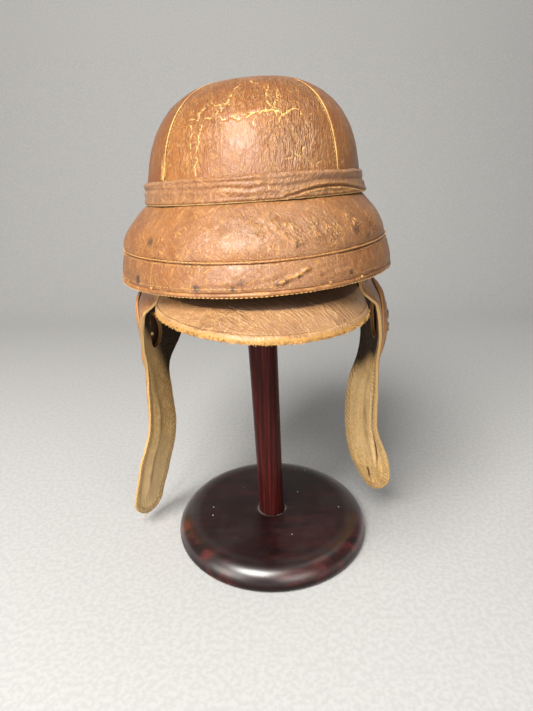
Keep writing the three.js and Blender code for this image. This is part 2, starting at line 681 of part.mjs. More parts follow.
// The post leans about its foot. Heights in the leaning group are still measured from the table.
const leaning = new THREE.Group();
leaning.rotation.y = -radians(POST_LEAN);
leaning.position.z = POST_FOOT_Z;
helmet.position.copy(HELMET_AT).setZ(HELMET_AT.z - POST_FOOT_Z);
leaning.add(helmet, standPost(), standHead());

const model = new THREE.Group();
model.add(leaning, standBase());
export default model;
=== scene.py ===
# A leather flying helmet of about 1915 on its turned wooden stand, piece by piece in the order in which it is
# made: pads, crown, band, bumper, peak, ear flaps, ear covers, then the stand.
from itertools import product

import bmesh
import bpy
import numpy as np
from mathutils import Matrix, Vector


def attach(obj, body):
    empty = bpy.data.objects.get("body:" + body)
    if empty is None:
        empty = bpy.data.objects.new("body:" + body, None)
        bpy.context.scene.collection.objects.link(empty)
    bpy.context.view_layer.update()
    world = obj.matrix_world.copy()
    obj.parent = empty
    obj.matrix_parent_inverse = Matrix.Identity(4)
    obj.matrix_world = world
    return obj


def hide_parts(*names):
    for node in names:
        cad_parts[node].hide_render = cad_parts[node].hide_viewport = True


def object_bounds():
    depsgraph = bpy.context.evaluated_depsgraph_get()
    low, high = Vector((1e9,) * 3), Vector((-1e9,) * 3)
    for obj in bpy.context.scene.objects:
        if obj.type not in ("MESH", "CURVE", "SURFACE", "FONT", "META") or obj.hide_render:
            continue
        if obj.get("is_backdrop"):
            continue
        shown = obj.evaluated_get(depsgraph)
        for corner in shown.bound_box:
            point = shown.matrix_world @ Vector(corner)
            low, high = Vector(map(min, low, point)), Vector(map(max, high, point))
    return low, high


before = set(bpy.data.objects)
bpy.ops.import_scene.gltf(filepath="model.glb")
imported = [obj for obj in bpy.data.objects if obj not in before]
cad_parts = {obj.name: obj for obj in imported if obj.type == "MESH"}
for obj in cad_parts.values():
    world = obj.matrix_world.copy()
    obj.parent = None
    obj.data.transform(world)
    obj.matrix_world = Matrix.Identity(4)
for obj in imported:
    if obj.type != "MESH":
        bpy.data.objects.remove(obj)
cad_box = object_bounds()


# The pads
# Four stiff pads of felt and cork under dark cloth, 8 mm thick. They butt together under the crown's seams,
# and the leather is glued and sewn over them. Only their inside shows, from below.

MM = 0.001
SIDES = {"front": (-52, 42), "left": (42, 136), "back": (136, 224), "right": (224, 308)}
CROWN_HALF_WIDTH = 91.5
OVAL_EXTRA = 21
EGG = 0.04
CROWN_LEAN = 0.05
SEAM_Z = 24
SPRING_Z = 76
CROWN_RISE = 74.5
CROWN_TAPER = 0.11
CROWN_ROUNDNESS = 2.85
NAPE_DROP = 4
PAD_INSET = 2.7
PAD_WALL = 8
PAD_QUILTED = 1.5
PAD_GAP = 0.4
PAD_WIDTH = 160
PAD_CELL = 3
PAD_THIN = 2
PAD_WEAVE_SCALE = 900 / 6.28
PAD_CLOTH = (0.030, 0.021, 0.014, 1)
PAD_CLOTH_WORN = (0.075, 0.050, 0.030, 1)


def turn_about(axis, degrees):
    """The matrix that turns points by that many degrees about an axis."""
    return np.array(Matrix.Rotation(np.radians(degrees), 3, axis))


HELMET_TURN = turn_about("X", -3.3) @ turn_about("Y", -0.8) @ turn_about("Z", 3.5)
HELMET_ABOVE_POST_FOOT = np.array([-2.0, 0.0, 282.75])
POST_LEAN = turn_about("Y", -1.9)
POST_FOOT = np.array([0.0, 0.0, 11.75])


def leant(points):
    """Millimetres from the post's foot to metres in the frame: leant over with the post."""
    return (points @ POST_LEAN.T + POST_FOOT) * MM


def on_head(points):
    """Millimetres from the middle of the helmet's rim to metres in the frame: turned, then leant."""
    return leant(points @ HELMET_TURN.T + HELMET_ABOVE_POST_FOOT)


def stacked(*parts):
    """Arrays, broadcast together, side by side along a new last axis."""
    return np.stack(np.broadcast_arrays(*parts), -1)


def on_oval(turn, half_width, half_length, z):
    """Points at x = half_width sin(turn), y = -half_length cos(turn), a little narrower in front, and leaning
    to the wearer's left with the height above the roll's seam."""
    x = half_width * np.sin(turn) * (1 - EGG * np.cos(turn)) + CROWN_LEAN * np.maximum(0, z - SEAM_Z)
    return stacked(x, -half_length * np.cos(turn), z)


def on_wall(turn, inset, z):
    return on_oval(turn, CROWN_HALF_WIDTH - inset, CROWN_HALF_WIDTH + OVAL_EXTRA - inset, z)


def dome_section(climb):
    """Across and up, 0 to 1 each, of a tapering super-ellipse: cos and sin to the power 2 / roundness."""
    up = np.sin(climb) ** (2 / CROWN_ROUNDNESS)
    across = np.maximum(0, np.cos(climb)) ** (2 / CROWN_ROUNDNESS) * (1 - CROWN_TAPER * up)
    return across, up


CLIMBS = np.linspace(0, np.pi / 2, 3000) ** 1.5 / (np.pi / 2) ** 0.5
ACROSS, UP = dome_section(CLIMBS)
RISES = np.concatenate([[0], np.cumsum(np.hypot(
    np.diff(ACROSS) * (CROWN_HALF_WIDTH + OVAL_EXTRA), np.diff(UP) * CROWN_RISE))])
APEX = RISES[-1]


def on_crown(turn, rise, inset=0.0):
    """Points on the crown, rise millimetres up its front from where the dome springs, or down the wall."""
    across, up = np.interp(rise, RISES, ACROSS), np.interp(rise, RISES, UP)
    half_width = CROWN_HALF_WIDTH - inset
    z = SPRING_Z + (CROWN_RISE - inset) * up + np.minimum(rise, 0)
    return on_oval(turn, half_width * across, (half_width + OVAL_EXTRA) * across, z)


def bell(value, width):
    """1 where the value is 0, falling on both sides as e to the minus (value / width) squared."""
    return np.exp(-((value / width) ** 2))


def rim_z(turn):
    return -NAPE_DROP * np.maximum(0, -np.cos(turn)) ** 2


def steps(length, size, thin=1):
    """How many steps of about that size a length takes, as a multiple of thin."""
    return int(np.ceil(length / size / thin)) * thin


def grid_quads(rows, columns, first=0):
    corner = first + np.arange(rows * columns).reshape(rows, columns)
    return stacked(corner[:-1, :-1], corner[1:, :-1], corner[1:, 1:], corner[:-1, 1:]).reshape(-1, 4)


def add_piece(name, points, faces, skin=None, values=None, sharp=50):
    """A closed mesh object from points in metres and arrays of faces. Points that coincide are welded, and
    the faces are turned outwards by the sign of the volume. skin is the UV map in metres, a pair a point."""
    mesh = bpy.data.meshes.new(name)
    sizes = np.concatenate([np.full(len(part), part.shape[1]) for part in faces])
    corners = np.concatenate([part.ravel() for part in faces]).astype(np.int32)
    mesh.vertices.add(len(points))
    mesh.vertices.foreach_set("co", points.astype(np.float32).ravel())
    mesh.loops.add(len(corners))
    mesh.loops.foreach_set("vertex_index", corners)
    mesh.polygons.add(len(sizes))
    mesh.polygons.foreach_set("loop_start", (np.cumsum(sizes) - sizes).astype(np.int32))
    mesh.update(calc_edges=True)
    if skin is not None:
        layer = mesh.uv_layers.new(name="skin")
        layer.data.foreach_set("uv", skin[corners].astype(np.float32).ravel())
    for key, value in (values or {}).items():
        layer = mesh.attributes.new(key, "FLOAT", "POINT")
        layer.data.foreach_set("value", np.asarray(value, np.float32).ravel())
    shape = bmesh.new()
    shape.from_mesh(mesh)
    bmesh.ops.remove_doubles(shape, verts=shape.verts, dist=1e-6)
    if shape.calc_volume(signed=True) < 0:
        bmesh.ops.reverse_faces(shape, faces=shape.faces)
    shape.to_mesh(mesh)
    shape.free()
    mesh.shade_smooth()
    mesh.set_sharp_from_angle(angle=np.radians(sharp))
    piece = bpy.data.objects.new(name, mesh)
    bpy.context.scene.collection.objects.link(piece)
    return piece


def wall(outer, inner, thin, borders="LBRT"):
    """Points and faces of a wall between two grids. The inner one keeps every thin-th row and column, and
    each of its border edges fans out to thin edges of the outer one."""
    coarse = inner[::thin, ::thin]
    shape_out, shape_in = outer.shape[:2], coarse.shape[:2]
    first = shape_out[0] * shape_out[1]
    faces = [grid_quads(*shape_out), grid_quads(*shape_in, first)[:, ::-1]]
    out_at = np.arange(first).reshape(shape_out)
    in_at = first + np.arange(shape_in[0] * shape_in[1]).reshape(shape_in)
    runs = {
        "L": (out_at[:, 0], in_at[:, 0]),
        "B": (out_at[-1], in_at[-1]),
        "R": (out_at[::-1, -1], in_at[::-1, -1]),
        "T": (out_at[0, ::-1], in_at[0, ::-1]),
    }
    for border in borders:
        far, near = runs[border]
        faces.append(stacked(far[1:], far[:-1], np.repeat(near[:-1], thin)))
        faces.append(stacked(near[:-1], near[1:], far[thin::thin]))
    return np.concatenate([outer.reshape(-1, 3), coarse.reshape(-1, 3)]), faces


def on_both(grid, thin):
    """A value for each point of a wall's outer grid, and again for the points of its coarse inner one."""
    flat = grid.shape[2:]
    return np.concatenate([grid.reshape(-1, *flat), grid[::thin, ::thin].reshape(-1, *flat)])


def add_wall(name, outer, inner, thin, skin, values=None, borders="LBRT"):
    """A piece that is a wall between two grids on the helmet, its skin and its values the same on both."""
    points, faces = wall(outer, inner, thin, borders)
    shape = outer.shape[:2]
    values = {key: on_both(np.broadcast_to(value, shape), thin) for key, value in (values or {}).items()}
    return add_piece(name, on_head(points), faces, on_both(skin, thin), values)


def give_inputs(tree, node, inputs):
    """Each input, by name or number, is a plain value or a socket to link."""
    for key, value in inputs.items():
        if isinstance(value, bpy.types.NodeSocket):
            tree.links.new(value, node.inputs[key])
        else:
            node.inputs[key].default_value = value


def add_node(tree, kind, inputs=None, **settings):
    """A shader node with its settings and its inputs."""
    made = tree.nodes.new("ShaderNode" + kind)
    for setting, value in settings.items():
        setattr(made, setting, value)
    give_inputs(tree, made, inputs or {})
    return made


def sums(tree, operation, first, second=0.0, clamp=False):
    return add_node(tree, "Math", {0: first, 1: second}, operation=operation, use_clamp=clamp).outputs[0]


def times(tree, first, second):
    return sums(tree, "MULTIPLY", first, second)


def plus(tree, first, second, clamp=False):
    return sums(tree, "ADD", first, second, clamp)


def minus(tree, first, second, clamp=False):
    return sums(tree, "SUBTRACT", first, second, clamp)


def blended(tree, amount, first, second):
    """The first colour, going over to the second by amount, from 0 to 1."""
    return add_node(tree, "Mix", {0: amount, 6: first, 7: second}, data_type="RGBA").outputs[2]


def eased(tree, value, low, high, at_low=0.0, at_high=1.0):
    """at_low where the value is low, at_high where it is high, and a smooth step between."""
    inputs = {0: value, 1: low, 2: high, 3: at_low, 4: at_high}
    return add_node(tree, "MapRange", inputs, interpolation_type="SMOOTHSTEP").outputs[0]


def noise(tree, vector, scale, detail=3.0, roughness=0.55):
    inputs = {"Vector": vector, "Scale": scale, "Detail": detail, "Roughness": roughness}
    return add_node(tree, "TexNoise", inputs).outputs["Fac"]


def stretched(tree, vector, scale, turned=0.0):
    """The vector turned about Z by degrees and then multiplied by scale, one number for each axis."""
    turned_first = add_node(tree, "Mapping", {"Vector": vector, "Rotation": (0, 0, np.radians(turned))})
    inputs = {"Vector": turned_first.outputs[0], "Scale": scale}
    return add_node(tree, "Mapping", inputs).outputs[0]


def new_material(name):
    """An empty material: its tree, its Principled shader, and its Object and UV coordinates."""
    material = bpy.data.materials.new(name)
    material.use_nodes = True
    tree = material.node_tree
    tree.nodes.clear()
    shader = add_node(tree, "BsdfPrincipled")
    output = add_node(tree, "OutputMaterial", {"Surface": shader.outputs[0]})
    output.is_active_output = True
    here = add_node(tree, "TexCoord").outputs["Object"]
    skin = add_node(tree, "UVMap", uv_map="skin").outputs[0]
    return material, tree, shader, here, skin


def bump(tree, height, distance, strength=1.0, under=None):
    inputs = {"Height": height, "Distance": distance, "Strength": strength}
    if under is not None:
        inputs["Normal"] = under
    return add_node(tree, "Bump", inputs).outputs[0]


def finish_material(tree, shader, colour, roughness, normal):
    tree.links.new(colour, shader.inputs["Base Color"])
    tree.links.new(roughness, shader.inputs["Roughness"])
    tree.links.new(normal, shader.inputs["Normal"])


def pad_cloth():
    """Dark plain-woven cloth, worn paler in patches: two sets of threads at right angles."""
    material, tree, shader, here, skin = new_material("pad_cloth")
    waves = {"Vector": skin, "Scale": PAD_WEAVE_SCALE}
    warp, weft = (add_node(tree, "TexWave", waves, bands_direction=axis).outputs["Fac"] for axis in "XY")
    weave = sums(tree, "MAXIMUM", warp, weft)
    worn = eased(tree, noise(tree, here, 35, 5), 0.45, 0.75)
    colour = blended(tree, worn, PAD_CLOTH, PAD_CLOTH_WORN)
    colour = blended(tree, times(tree, weave, 0.35), colour, PAD_CLOTH_WORN)
    roughness = eased(tree, weave, 0, 1, 0.98, 0.82)
    finish_material(tree, shader, colour, roughness, bump(tree, weave, 0.0002, 0.6))
    shader.inputs["Sheen Weight"].default_value = 0.2
    return material


pad_material = pad_cloth()
for side, (start, end) in SIDES.items():
    foot_to_apex = np.linspace(-SPRING_Z, APEX, steps(SPRING_Z + APEX, PAD_CELL, PAD_THIN) + 1)[:, None]
    share = np.linspace(0, 1, steps(PAD_WIDTH, PAD_CELL, PAD_THIN) + 1)[None, :]
    turn = np.radians(start + (end - start) * share)
    rise = foot_to_apex + rim_z(turn) * np.clip(-foot_to_apex / SPRING_Z, 0, 1)
    radius = CROWN_HALF_WIDTH * np.interp(rise, RISES, ACROSS)
    to_seam = radius * np.radians(end - start) * (0.5 - np.abs(share - 0.5))
    held = np.minimum(PAD_GAP / np.maximum(radius, PAD_GAP), np.radians(end - start) / 2)
    turn = turn + held * (1 - 2 * share)
    quilted = PAD_QUILTED * bell(to_seam, 5)
    outer = on_crown(turn, rise, PAD_INSET + 0 * rise)
    inner = on_crown(turn, rise, PAD_INSET + PAD_WALL - quilted)
    skin = stacked(radius * turn, rise) * MM
    pad = add_wall(f"head_pad_{side}", inner, outer, PAD_THIN, skin, borders="LRT")
    pad.data.materials.append(pad_material)
    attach(pad, "root")
    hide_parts(f"pad_{side}")


# The crown panels
# Four panels of orange-brown calf, 2 mm thick, stretched wet over the pads and turned in where they meet.
# A century of drying has crazed the glaze into golden cracks, and creased the front panel on its left.

PANEL_FOOT = -14
PANEL_LEATHER = 2.0
PANEL_GAP = 0.35
PANEL_TURNED_IN = 1.1
APEX_LEFT_OPEN = 0.7
FRONT_CELL = 0.7
PANEL_CELL = 1.4
PANEL_THIN = 4
# Painted shade on each panel: how much darker it is painted.
PANEL_SHADE = {"front": 0, "left": 0.45, "back": 0.6, "right": 1.4}

# Golden cracks in the front panel, each by degrees round from the front and millimetres up from the rim.
CRACKS = [
    [(-38, 116), (-32, 115), (-25, 115), (-18, 113), (-11, 113), (-5, 113.5),
     (-3, 116), (4, 117), (10, 116.5)],
    [(-8, 115), (-3, 116.5), (1, 115.5), (4, 118), (10, 117), (13, 114), (17, 117), (20, 118), (22, 117)],
    [(9, 117), (9.5, 114.5), (13, 113), (15, 115.5), (17, 117)],
    [(-32, 116), (-33, 119), (-31, 122), (-29, 123), (-24, 124), (-20, 123.5), (-15, 123)],
    [(-32, 115), (-29, 111), (-30, 104), (-29, 100), (-30, 96), (-30.5, 90), (-31, 84), (-30, 78)],
    [(-36, 112), (-34, 106), (-34, 98), (-33, 90)],
    [(-16, 143), (-13, 136), (-15, 130), (-16, 126), (-20, 123)],
    [(-7, 144), (-2, 139), (2, 138), (8, 134), (6, 128), (6, 122), (8, 119)],
    [(12, 129), (11, 124)],
    [(19, 131), (22, 130), (26, 131)],
    [(-3, 109), (2, 106), (8, 105), (13, 106)],
    [(23, 120), (23, 115), (25, 108), (23, 99), (21, 91), (21, 85)],
    [(14, 85), (17, 85.5), (20, 86)],
    [(20, 80), (25, 80), (29, 81), (36, 83)],
    [(-22, 120), (-19, 119), (-17, 121)],
]
MAIN_CRACKS = 8
CRACK_REACH = 2.2
CRACK_RAGGED = 0.9
CRACK_BRANCHES = 44
CREASED = {"turn": 17, "turns": 17, "z": 100, "height": 20}
CREASE_SPACING = 5.2
CREASE_DEPTH = 0.9
BUMP_SPOT = (29, 114)
CROWN_SMUDGE = (-10, 118)

LEATHER_TAN = (0.330, 0.122, 0.024, 1)
LEATHER_DEEP = (0.190, 0.062, 0.013, 1)
LEATHER_GOLD = (0.480, 0.205, 0.042, 1)
LEATHER_PALE = (0.700, 0.410, 0.130, 1)
# Pinkish tone, for random patches and for painted sheen.
LEATHER_ROSY_AND_SHEEN = (0.315, 0.186, 0.116, 1)
# Near-black brown for dirt, and for painted shadow on the peak and the ear covers.
LEATHER_SOIL_AND_SHADE = (0.040, 0.024, 0.016, 1)
LEATHER_MARKS = ("relief", "crumple", "crack", "scuff", "soil_and_shade", "cut", "rosy_and_sheen", "shade")


def lumps(points, size, seed):
    """Smooth random heights from -1 to 1: random numbers on a lattice of that size, eased between corners
    by 3s^2 - 2s^3 along each axis."""
    table = np.random.default_rng(seed).uniform(-1, 1, (61, 59, 53))
    scaled = points / size
    cell = np.floor(scaled).astype(int)
    ease = scaled - cell
    ease = ease * ease * (3 - 2 * ease)
    total = 0
    for corner in product((0, 1), repeat=3):
        at = (cell + corner) % table.shape
        weight = np.where(corner, ease, 1 - ease).prod(-1)
        total = total + table[at[..., 0], at[..., 1], at[..., 2]] * weight
    return total


def smooth_step(value, low, high):
    share = np.clip((value - low) / (high - low), 0, 1)
    return share * share * (3 - 2 * share)


def patches(points, size, seed, low, high):
    """Soft patches, from 0 to 1: the lumps of that size, eased between low and high."""
    return smooth_step(lumps(points, size, seed), low, high)


def oval_patch(across, width, up, height):
    """A bell both ways: e to the minus of (across / width) squared plus (up / height) squared."""
    return np.exp(-((across / width) ** 2) - ((up / height) ** 2))


def away_from(points, path):
    """The distance from each point to the nearest stretch of a path, in the points' own units."""
    starts, along = path[:-1], np.diff(path, axis=0)
    from_start = points[..., None, :] - starts
    share = np.clip((from_start * along).sum(-1) / np.maximum((along**2).sum(-1), 1e-9), 0, 1)
    return np.linalg.norm(from_start - share[..., None] * along, axis=-1).min(-1)


def ragged(path, amount, seed):
    """The path with a point added in the middle of each stretch, three times over, moved aside at random."""
    random = np.random.default_rng(seed)
    for _ in range(3):
        middle = (path[:-1] + path[1:]) / 2
        lengths = np.linalg.norm(np.diff(path, axis=0), axis=-1, keepdims=True)
        middle = middle + random.normal(0, 0.16 * amount, middle.shape) * lengths
        path = np.insert(path, np.arange(1, len(path)), middle, axis=0)
    return path


def unit(vectors):
    """The vectors divided by their lengths."""
    return vectors / np.maximum(np.linalg.norm(vectors, axis=-1, keepdims=True), 1e-9)


def outwards_of(grid, level=(1, 1, 1)):
    """Unit normals of a grid, from the differences between its neighbours, turned away from the middle. With
    a level of (1, 1, 0) they are turned away from the upright axis."""
    normal = unit(np.cross(np.gradient(grid, axis=0), np.gradient(grid, axis=1)))
    return normal * np.sign(np.nansum(normal * grid * level, -1, keepdims=True))


def rise_at(z):
    return np.where(z < SPRING_Z, z - SPRING_Z, np.interp((z - SPRING_Z) / CROWN_RISE, UP, RISES))


def far_from(points, spot):
    """How far points are from a spot on the crown, given by degrees round and height."""
    return np.linalg.norm(points - on_crown(np.radians(spot[0]), rise_at(spot[1])), axis=-1)


def new_group(name, inputs, outputs):
    """A shader node group: name and kind of each socket. Returns its tree and the sockets inside it."""
    tree = bpy.data.node_groups.new(name, "ShaderNodeTree")
    for socket, kind in inputs.items():
        tree.interface.new_socket(socket, in_out="INPUT", socket_type="NodeSocket" + kind)
    for socket, kind in outputs.items():
        tree.interface.new_socket(socket, in_out="OUTPUT", socket_type="NodeSocket" + kind)
    entry = tree.nodes.new("NodeGroupInput")
    leave = tree.nodes.new("NodeGroupOutput")
    return tree, entry.outputs, leave.inputs


def use_group(tree, group, inputs):
    made = tree.nodes.new("ShaderNodeGroup")
    made.node_tree = group
    give_inputs(tree, made, inputs)
    return made.outputs


def scaled_up(tree, given):
    """A group's vector times its scale."""
    inputs = {0: given["Vector"], "Scale": given["Scale"]}
    return add_node(tree, "VectorMath", inputs, operation="SCALE").outputs[0]


def off_middle(tree, value):
    """How far a noise is from its middle value, 0.5."""
    return sums(tree, "ABSOLUTE", minus(tree, value, 0.5))


def moved_by_noise(tree, vector, scale, detail):
    """The vector plus the colours of a noise, so that a pattern on it wanders."""
    loose = add_node(tree, "TexNoise", {"Vector": vector, "Scale": scale, "Detail": detail}).outputs["Color"]
    return add_node(tree, "VectorMath", {0: vector, 1: loose}, operation="ADD").outputs[0]


def let_through(tree, line, patch, cover):
    """Lines where the patch noise passes a level. cover is that level, and how much more shows them fully."""
    low, width = cover
    inputs = {0: patch, 1: low, 2: plus(tree, low, width)}
    patch = add_node(tree, "MapRange", inputs, interpolation_type="SMOOTHSTEP").outputs[0]
    return times(tree, line, patch)


def cell_edges(tree, vector):
    """How far it is to the edges between the cells of a Voronoi pattern."""
    inputs = {"Vector": vector, "Scale": 1.0}
    return add_node(tree, "TexVoronoi", inputs, feature="DISTANCE_TO_EDGE").outputs[0]


def make_grain():
    """Leather grain: pebbles between the lines of a Voronoi pattern, with finer noise on them."""
    tree, given, wanted = new_group(
        "leather_grain", {"Vector": "Vector", "Scale": "Float"}, {"Height": "Float"})
    loose = add_node(tree, "TexNoise", {"Vector": given["Vector"], "Scale": given["Scale"]}).outputs["Color"]
    scaled = scaled_up(tree, given)
    moved = add_node(tree, "VectorMath", {0: scaled, 1: loose}, operation="ADD").outputs[0]
    lines = cell_edges(tree, moved)
    pebbles = eased(tree, lines, 0.0, 0.28)
    fine = noise(tree, moved, 2.4, 3)
    tree.links.new(plus(tree, times(tree, pebbles, 0.65), times(tree, fine, 0.35)), wanted["Height"])
    return tree


def make_craze():
    """Fine cracks: the lines of a warped Voronoi pattern where a coarser noise lets them through."""
    tree, given, wanted = new_group(
        "craze", {"Vector": "Vector", "Scale": "Float", "Width": "Float", "Cover": "Float"},
        {"Mask": "Float"})
    scaled = scaled_up(tree, given)
    moved = moved_by_noise(tree, scaled, 1.7, 4.0)
    lines = cell_edges(tree, moved)
    line = minus(tree, 1.0, sums(tree, "DIVIDE", lines, given["Width"]), clamp=True)
    shown = let_through(tree, line, noise(tree, scaled, 0.45, 3), (given["Cover"], 0.10))
    tree.links.new(shown, wanted["Mask"])
    return tree


def make_scratches():
    """Long fine scratches in three directions: the level lines of a noise stretched twenty times along
    each, let through in patches by another noise."""
    tree, given, wanted = new_group(
        "scratches", {"Vector": "Vector", "Scale": "Float", "Cover": "Float"}, {"Mask": "Float"})
    scaled = scaled_up(tree, given)
    most = None
    for number, direction in enumerate((28, -42, 80)):
        along = stretched(tree, scaled, (0.045, 1.0, 1.0), direction)
        level = noise(tree, along, 1.0, 0.6, 0.4)
        line = eased(tree, off_middle(tree, level), 0.0, 0.026, 1.0, 0.0)
        aside = add_node(tree, "Mapping", {"Vector": scaled, "Location": (0, 0, 7.0 * number)}).outputs[0]
        line = let_through(tree, line, noise(tree, aside, 0.07, 2), (given["Cover"], 0.12))
        most = line if most is None else sums(tree, "MAXIMUM", most, line)
    tree.links.new(most, wanted["Mask"])
    return tree


def make_wrinkles():
    """Sharp little ridges where a noise crosses its middle value, large ones with smaller ones between, and
    the same ridges as thin lines."""
    tree, given, wanted = new_group(
        "wrinkles", {"Vector": "Vector", "Scale": "Float"}, {"Height": "Float", "Line": "Float"})
    scaled = scaled_up(tree, given)
    moved = moved_by_noise(tree, scaled, 0.8, 2.0)
    large = off_middle(tree, noise(tree, moved, 1.0, 1.5, 0.5))
    small = off_middle(tree, noise(tree, moved, 2.6, 1.5, 0.5))
    ridges = times(tree, eased(tree, large, 0.0, 0.14, 1.0, 0.0), 0.65)
    ridges = plus(tree, ridges, times(tree, eased(tree, small, 0.0, 0.16, 1.0, 0.0), 0.35))
    tree.links.new(ridges, wanted["Height"])
    line = sums(tree, "MAXIMUM", eased(tree, large, 0.0, 0.035, 1.0, 0.0),
                times(tree, eased(tree, small, 0.0, 0.03, 1.0, 0.0), 0.6))
    tree.links.new(line, wanted["Line"])
    return tree


GRAIN = make_grain()
CRAZE = make_craze()
SCRATCHES = make_scratches()
WRINKLES = make_wrinkles()


def mark(tree, name):
    """An attribute that the mesh carries, from 0 to 1."""
    return add_node(tree, "Attribute", attribute_name=name).outputs["Fac"]


def uneven(tree, marked, blotched, share, low, high):
    """A mark with an uneven edge: where it and a share of a noise come together between low and high."""
    return eased(tree, plus(tree, marked, times(tree, blotched, share)), low, high)


def leather(name, tan, deep, gold, rosy_and_sheen, craze_cover, scratch_cover, gloss=0.40, cut_edge=LEATHER_PALE,
            run=(1.0, 0.5, 1.0), turned=0.0):
    """Old glazed leather. Its tan goes deep in large blotches and pinkish in others, and gold on what is
    rubbed. The wrinkles run along the skin's second axis, turned by degrees, as far as run's numbers draw
    them out. Attributes that the meshes carry, all from 0 to 1: relief is 0.5 on plain leather, less in folds
    and more on ridges; crumple is how wrinkled it is, and brings pale wrinkle lines that are wear and painted
    glints; the pinkish mark is random patches, and painted sheen on the crown, band and roll; shade is
    painted shade, how much darker it is painted; crack, scuff and cut are the golden cracks, torn places and
    raw edges, and scuff is also painted light on the band; the dark-mark attribute is dirt, and painted
    shadow on the peak and the ear covers."""
    material, tree, shader, here, skin = new_material(name)
    marks = {key: mark(tree, key) for key in LEATHER_MARKS}
    blotches = noise(tree, here, 16, 5, 0.6)
    small = noise(tree, here, 95, 5, 0.7)
    tiny = noise(tree, here, 520, 3, 0.6)
    colour = blended(tree, eased(tree, blotches, 0.40, 0.66), tan, deep)
    colour = blended(tree, eased(tree, small, 0.46, 0.72, 0.0, 0.40), colour, gold)
    # Pinkish where the mesh asks: random patches, and painted sheen on the crown, band and roll.
    colour = blended(tree, times(tree, marks["rosy_and_sheen"], eased(tree, small, 0.35, 0.6, 0.4, 0.8)), colour, rosy_and_sheen)
    colour = blended(tree, eased(tree, tiny, 0.42, 0.66, 0.0, 0.40), colour, deep)
    # Painted shade: darker where the mesh's mark for it is high.
    colour = blended(tree, times(tree, marks["shade"], eased(tree, small, 0.3, 0.6, 0.6, 1.0)), colour, deep)

    grain = use_group(tree, GRAIN, {"Vector": here, "Scale": 620.0})[0]
    craze = use_group(tree, CRAZE, {"Vector": here, "Scale": 165.0, "Width": 0.06, "Cover": craze_cover})[0]
    scratch = use_group(tree, SCRATCHES, {"Vector": skin, "Scale": 640.0, "Cover": scratch_cover})[0]
    wrinkle = use_group(tree, WRINKLES, {"Vector": stretched(tree, skin, run, turned), "Scale": 250.0})
    colour = blended(tree, eased(tree, grain, 0.12, 0.5, 0.60, 0.0), colour, deep)

    folded = eased(tree, marks["relief"], 0.10, 0.45, 0.7, 0.0)
    ridged = times(tree, eased(tree, marks["relief"], 0.58, 0.9), eased(tree, small, 0.3, 0.6, 0.35, 1.0))
    colour = blended(tree, folded, colour, deep)
    colour = blended(tree, times(tree, ridged, 0.5), colour, gold)
    colour = blended(tree, times(tree, scratch, 0.65), colour, gold)
    # Pale wrinkle lines where it is crumpled: wear, and painted glints.
    worn = times(tree, wrinkle["Line"], eased(tree, marks["crumple"], 0.2, 1.0, 0.0, 0.40))
    worn = times(tree, worn, eased(tree, small, 0.36, 0.58))
    colour = blended(tree, sums(tree, "MAXIMUM", worn, times(tree, craze, 0.5)), colour, LEATHER_PALE)
    broken = uneven(tree, marks["crack"], tiny, 0.26, 0.90, 1.02)
    colour = blended(tree, broken, colour, LEATHER_PALE)
    torn = uneven(tree, marks["scuff"], small, 0.9, 0.80, 1.15)
    colour = blended(tree, times(tree, torn, 0.8), colour, gold)
    # Dark marks: dirt, and painted shadow where a piece carries it.
    soiled = uneven(tree, marks["soil_and_shade"], small, 0.9, 0.85, 1.2)
    colour = blended(tree, times(tree, soiled, 0.85), colour, LEATHER_SOIL_AND_SHADE)
    raw = uneven(tree, marks["cut"], tiny, 0.5, 0.70, 1.0)
    colour = blended(tree, raw, colour, cut_edge)

    roughness = eased(tree, small, 0.3, 0.7, gloss - 0.06, gloss + 0.12)
    roughness = plus(tree, roughness, times(tree, torn, 0.2))
    roughness = plus(tree, roughness, times(tree, raw, 0.35))
    roughness = minus(tree, roughness, times(tree, ridged, 0.06), clamp=True)
    soft = bump(tree, small, 0.0016, 0.30)
    creased = times(tree, wrinkle["Height"], eased(tree, marks["crumple"], 0.0, 1.0, 0.18, 1.0))
    soft = bump(tree, creased, 0.0013, 1.0, soft)
    pebbled = bump(tree, grain, 0.00022, 0.55, soft)
    lines = plus(tree, times(tree, scratch, 0.5), times(tree, craze, 1.0))
    lined = bump(tree, minus(tree, 1.0, lines), 0.0004, 0.8, pebbled)
    damage = plus(tree, times(tree, broken, -1.0), times(tree, torn, 0.6))
    finish_material(tree, shader, colour, roughness, bump(tree, damage, 0.0004, 0.8, lined))
    shader.inputs["Specular IOR Level"].default_value = 0.55
    shader.inputs["Coat Weight"].default_value = 0.30
    shader.inputs["Coat Roughness"].default_value = 0.36
    return material


def crumples(points, size, seed):
    """Sharp ridges all ways where lumps cross zero, from -0.35 between them to 0.65 on top: 1 - |lumps|,
    cubed, on points that other lumps have moved, with ridges half as far apart added to them."""
    bent = points + size * 0.5 * np.stack([lumps(points, size, seed + axis) for axis in range(3)], -1)
    large = (1 - np.abs(lumps(bent, size, seed + 3))) ** 3
    fine = (1 - np.abs(lumps(bent, size / 2, seed + 4))) ** 3
    return 0.65 * large + 0.35 * fine - 0.35


def dented(points, seed, broad=0.9):
    """The slow swells and small dents of stuffed leather, in millimetres: lumps 36, 15 and 7 mm apart."""
    swell = broad * lumps(points, 36, seed)
    return swell + 0.36 * lumps(points, 15, seed + 1) + 0.14 * lumps(points, 7, seed + 2)


def creases(points, across, spacing, wander, seed):
    """Wandering ridges, from -1 to 1: the sine of the distance across, bent by lumps and fading in places."""
    bent = across + wander * spacing * lumps(points, 2.6 * spacing, seed)
    fading = 0.55 + 0.45 * lumps(points, 3.5 * spacing, seed + 1)
    return np.sin(2 * np.pi * bent / spacing) * fading


def as_relief(detail, depth=1.1):
    """Detail in millimetres as the relief that the leather's material reads: 0.5 is level."""
    return np.clip(0.5 + detail / (2 * depth), 0, 1)


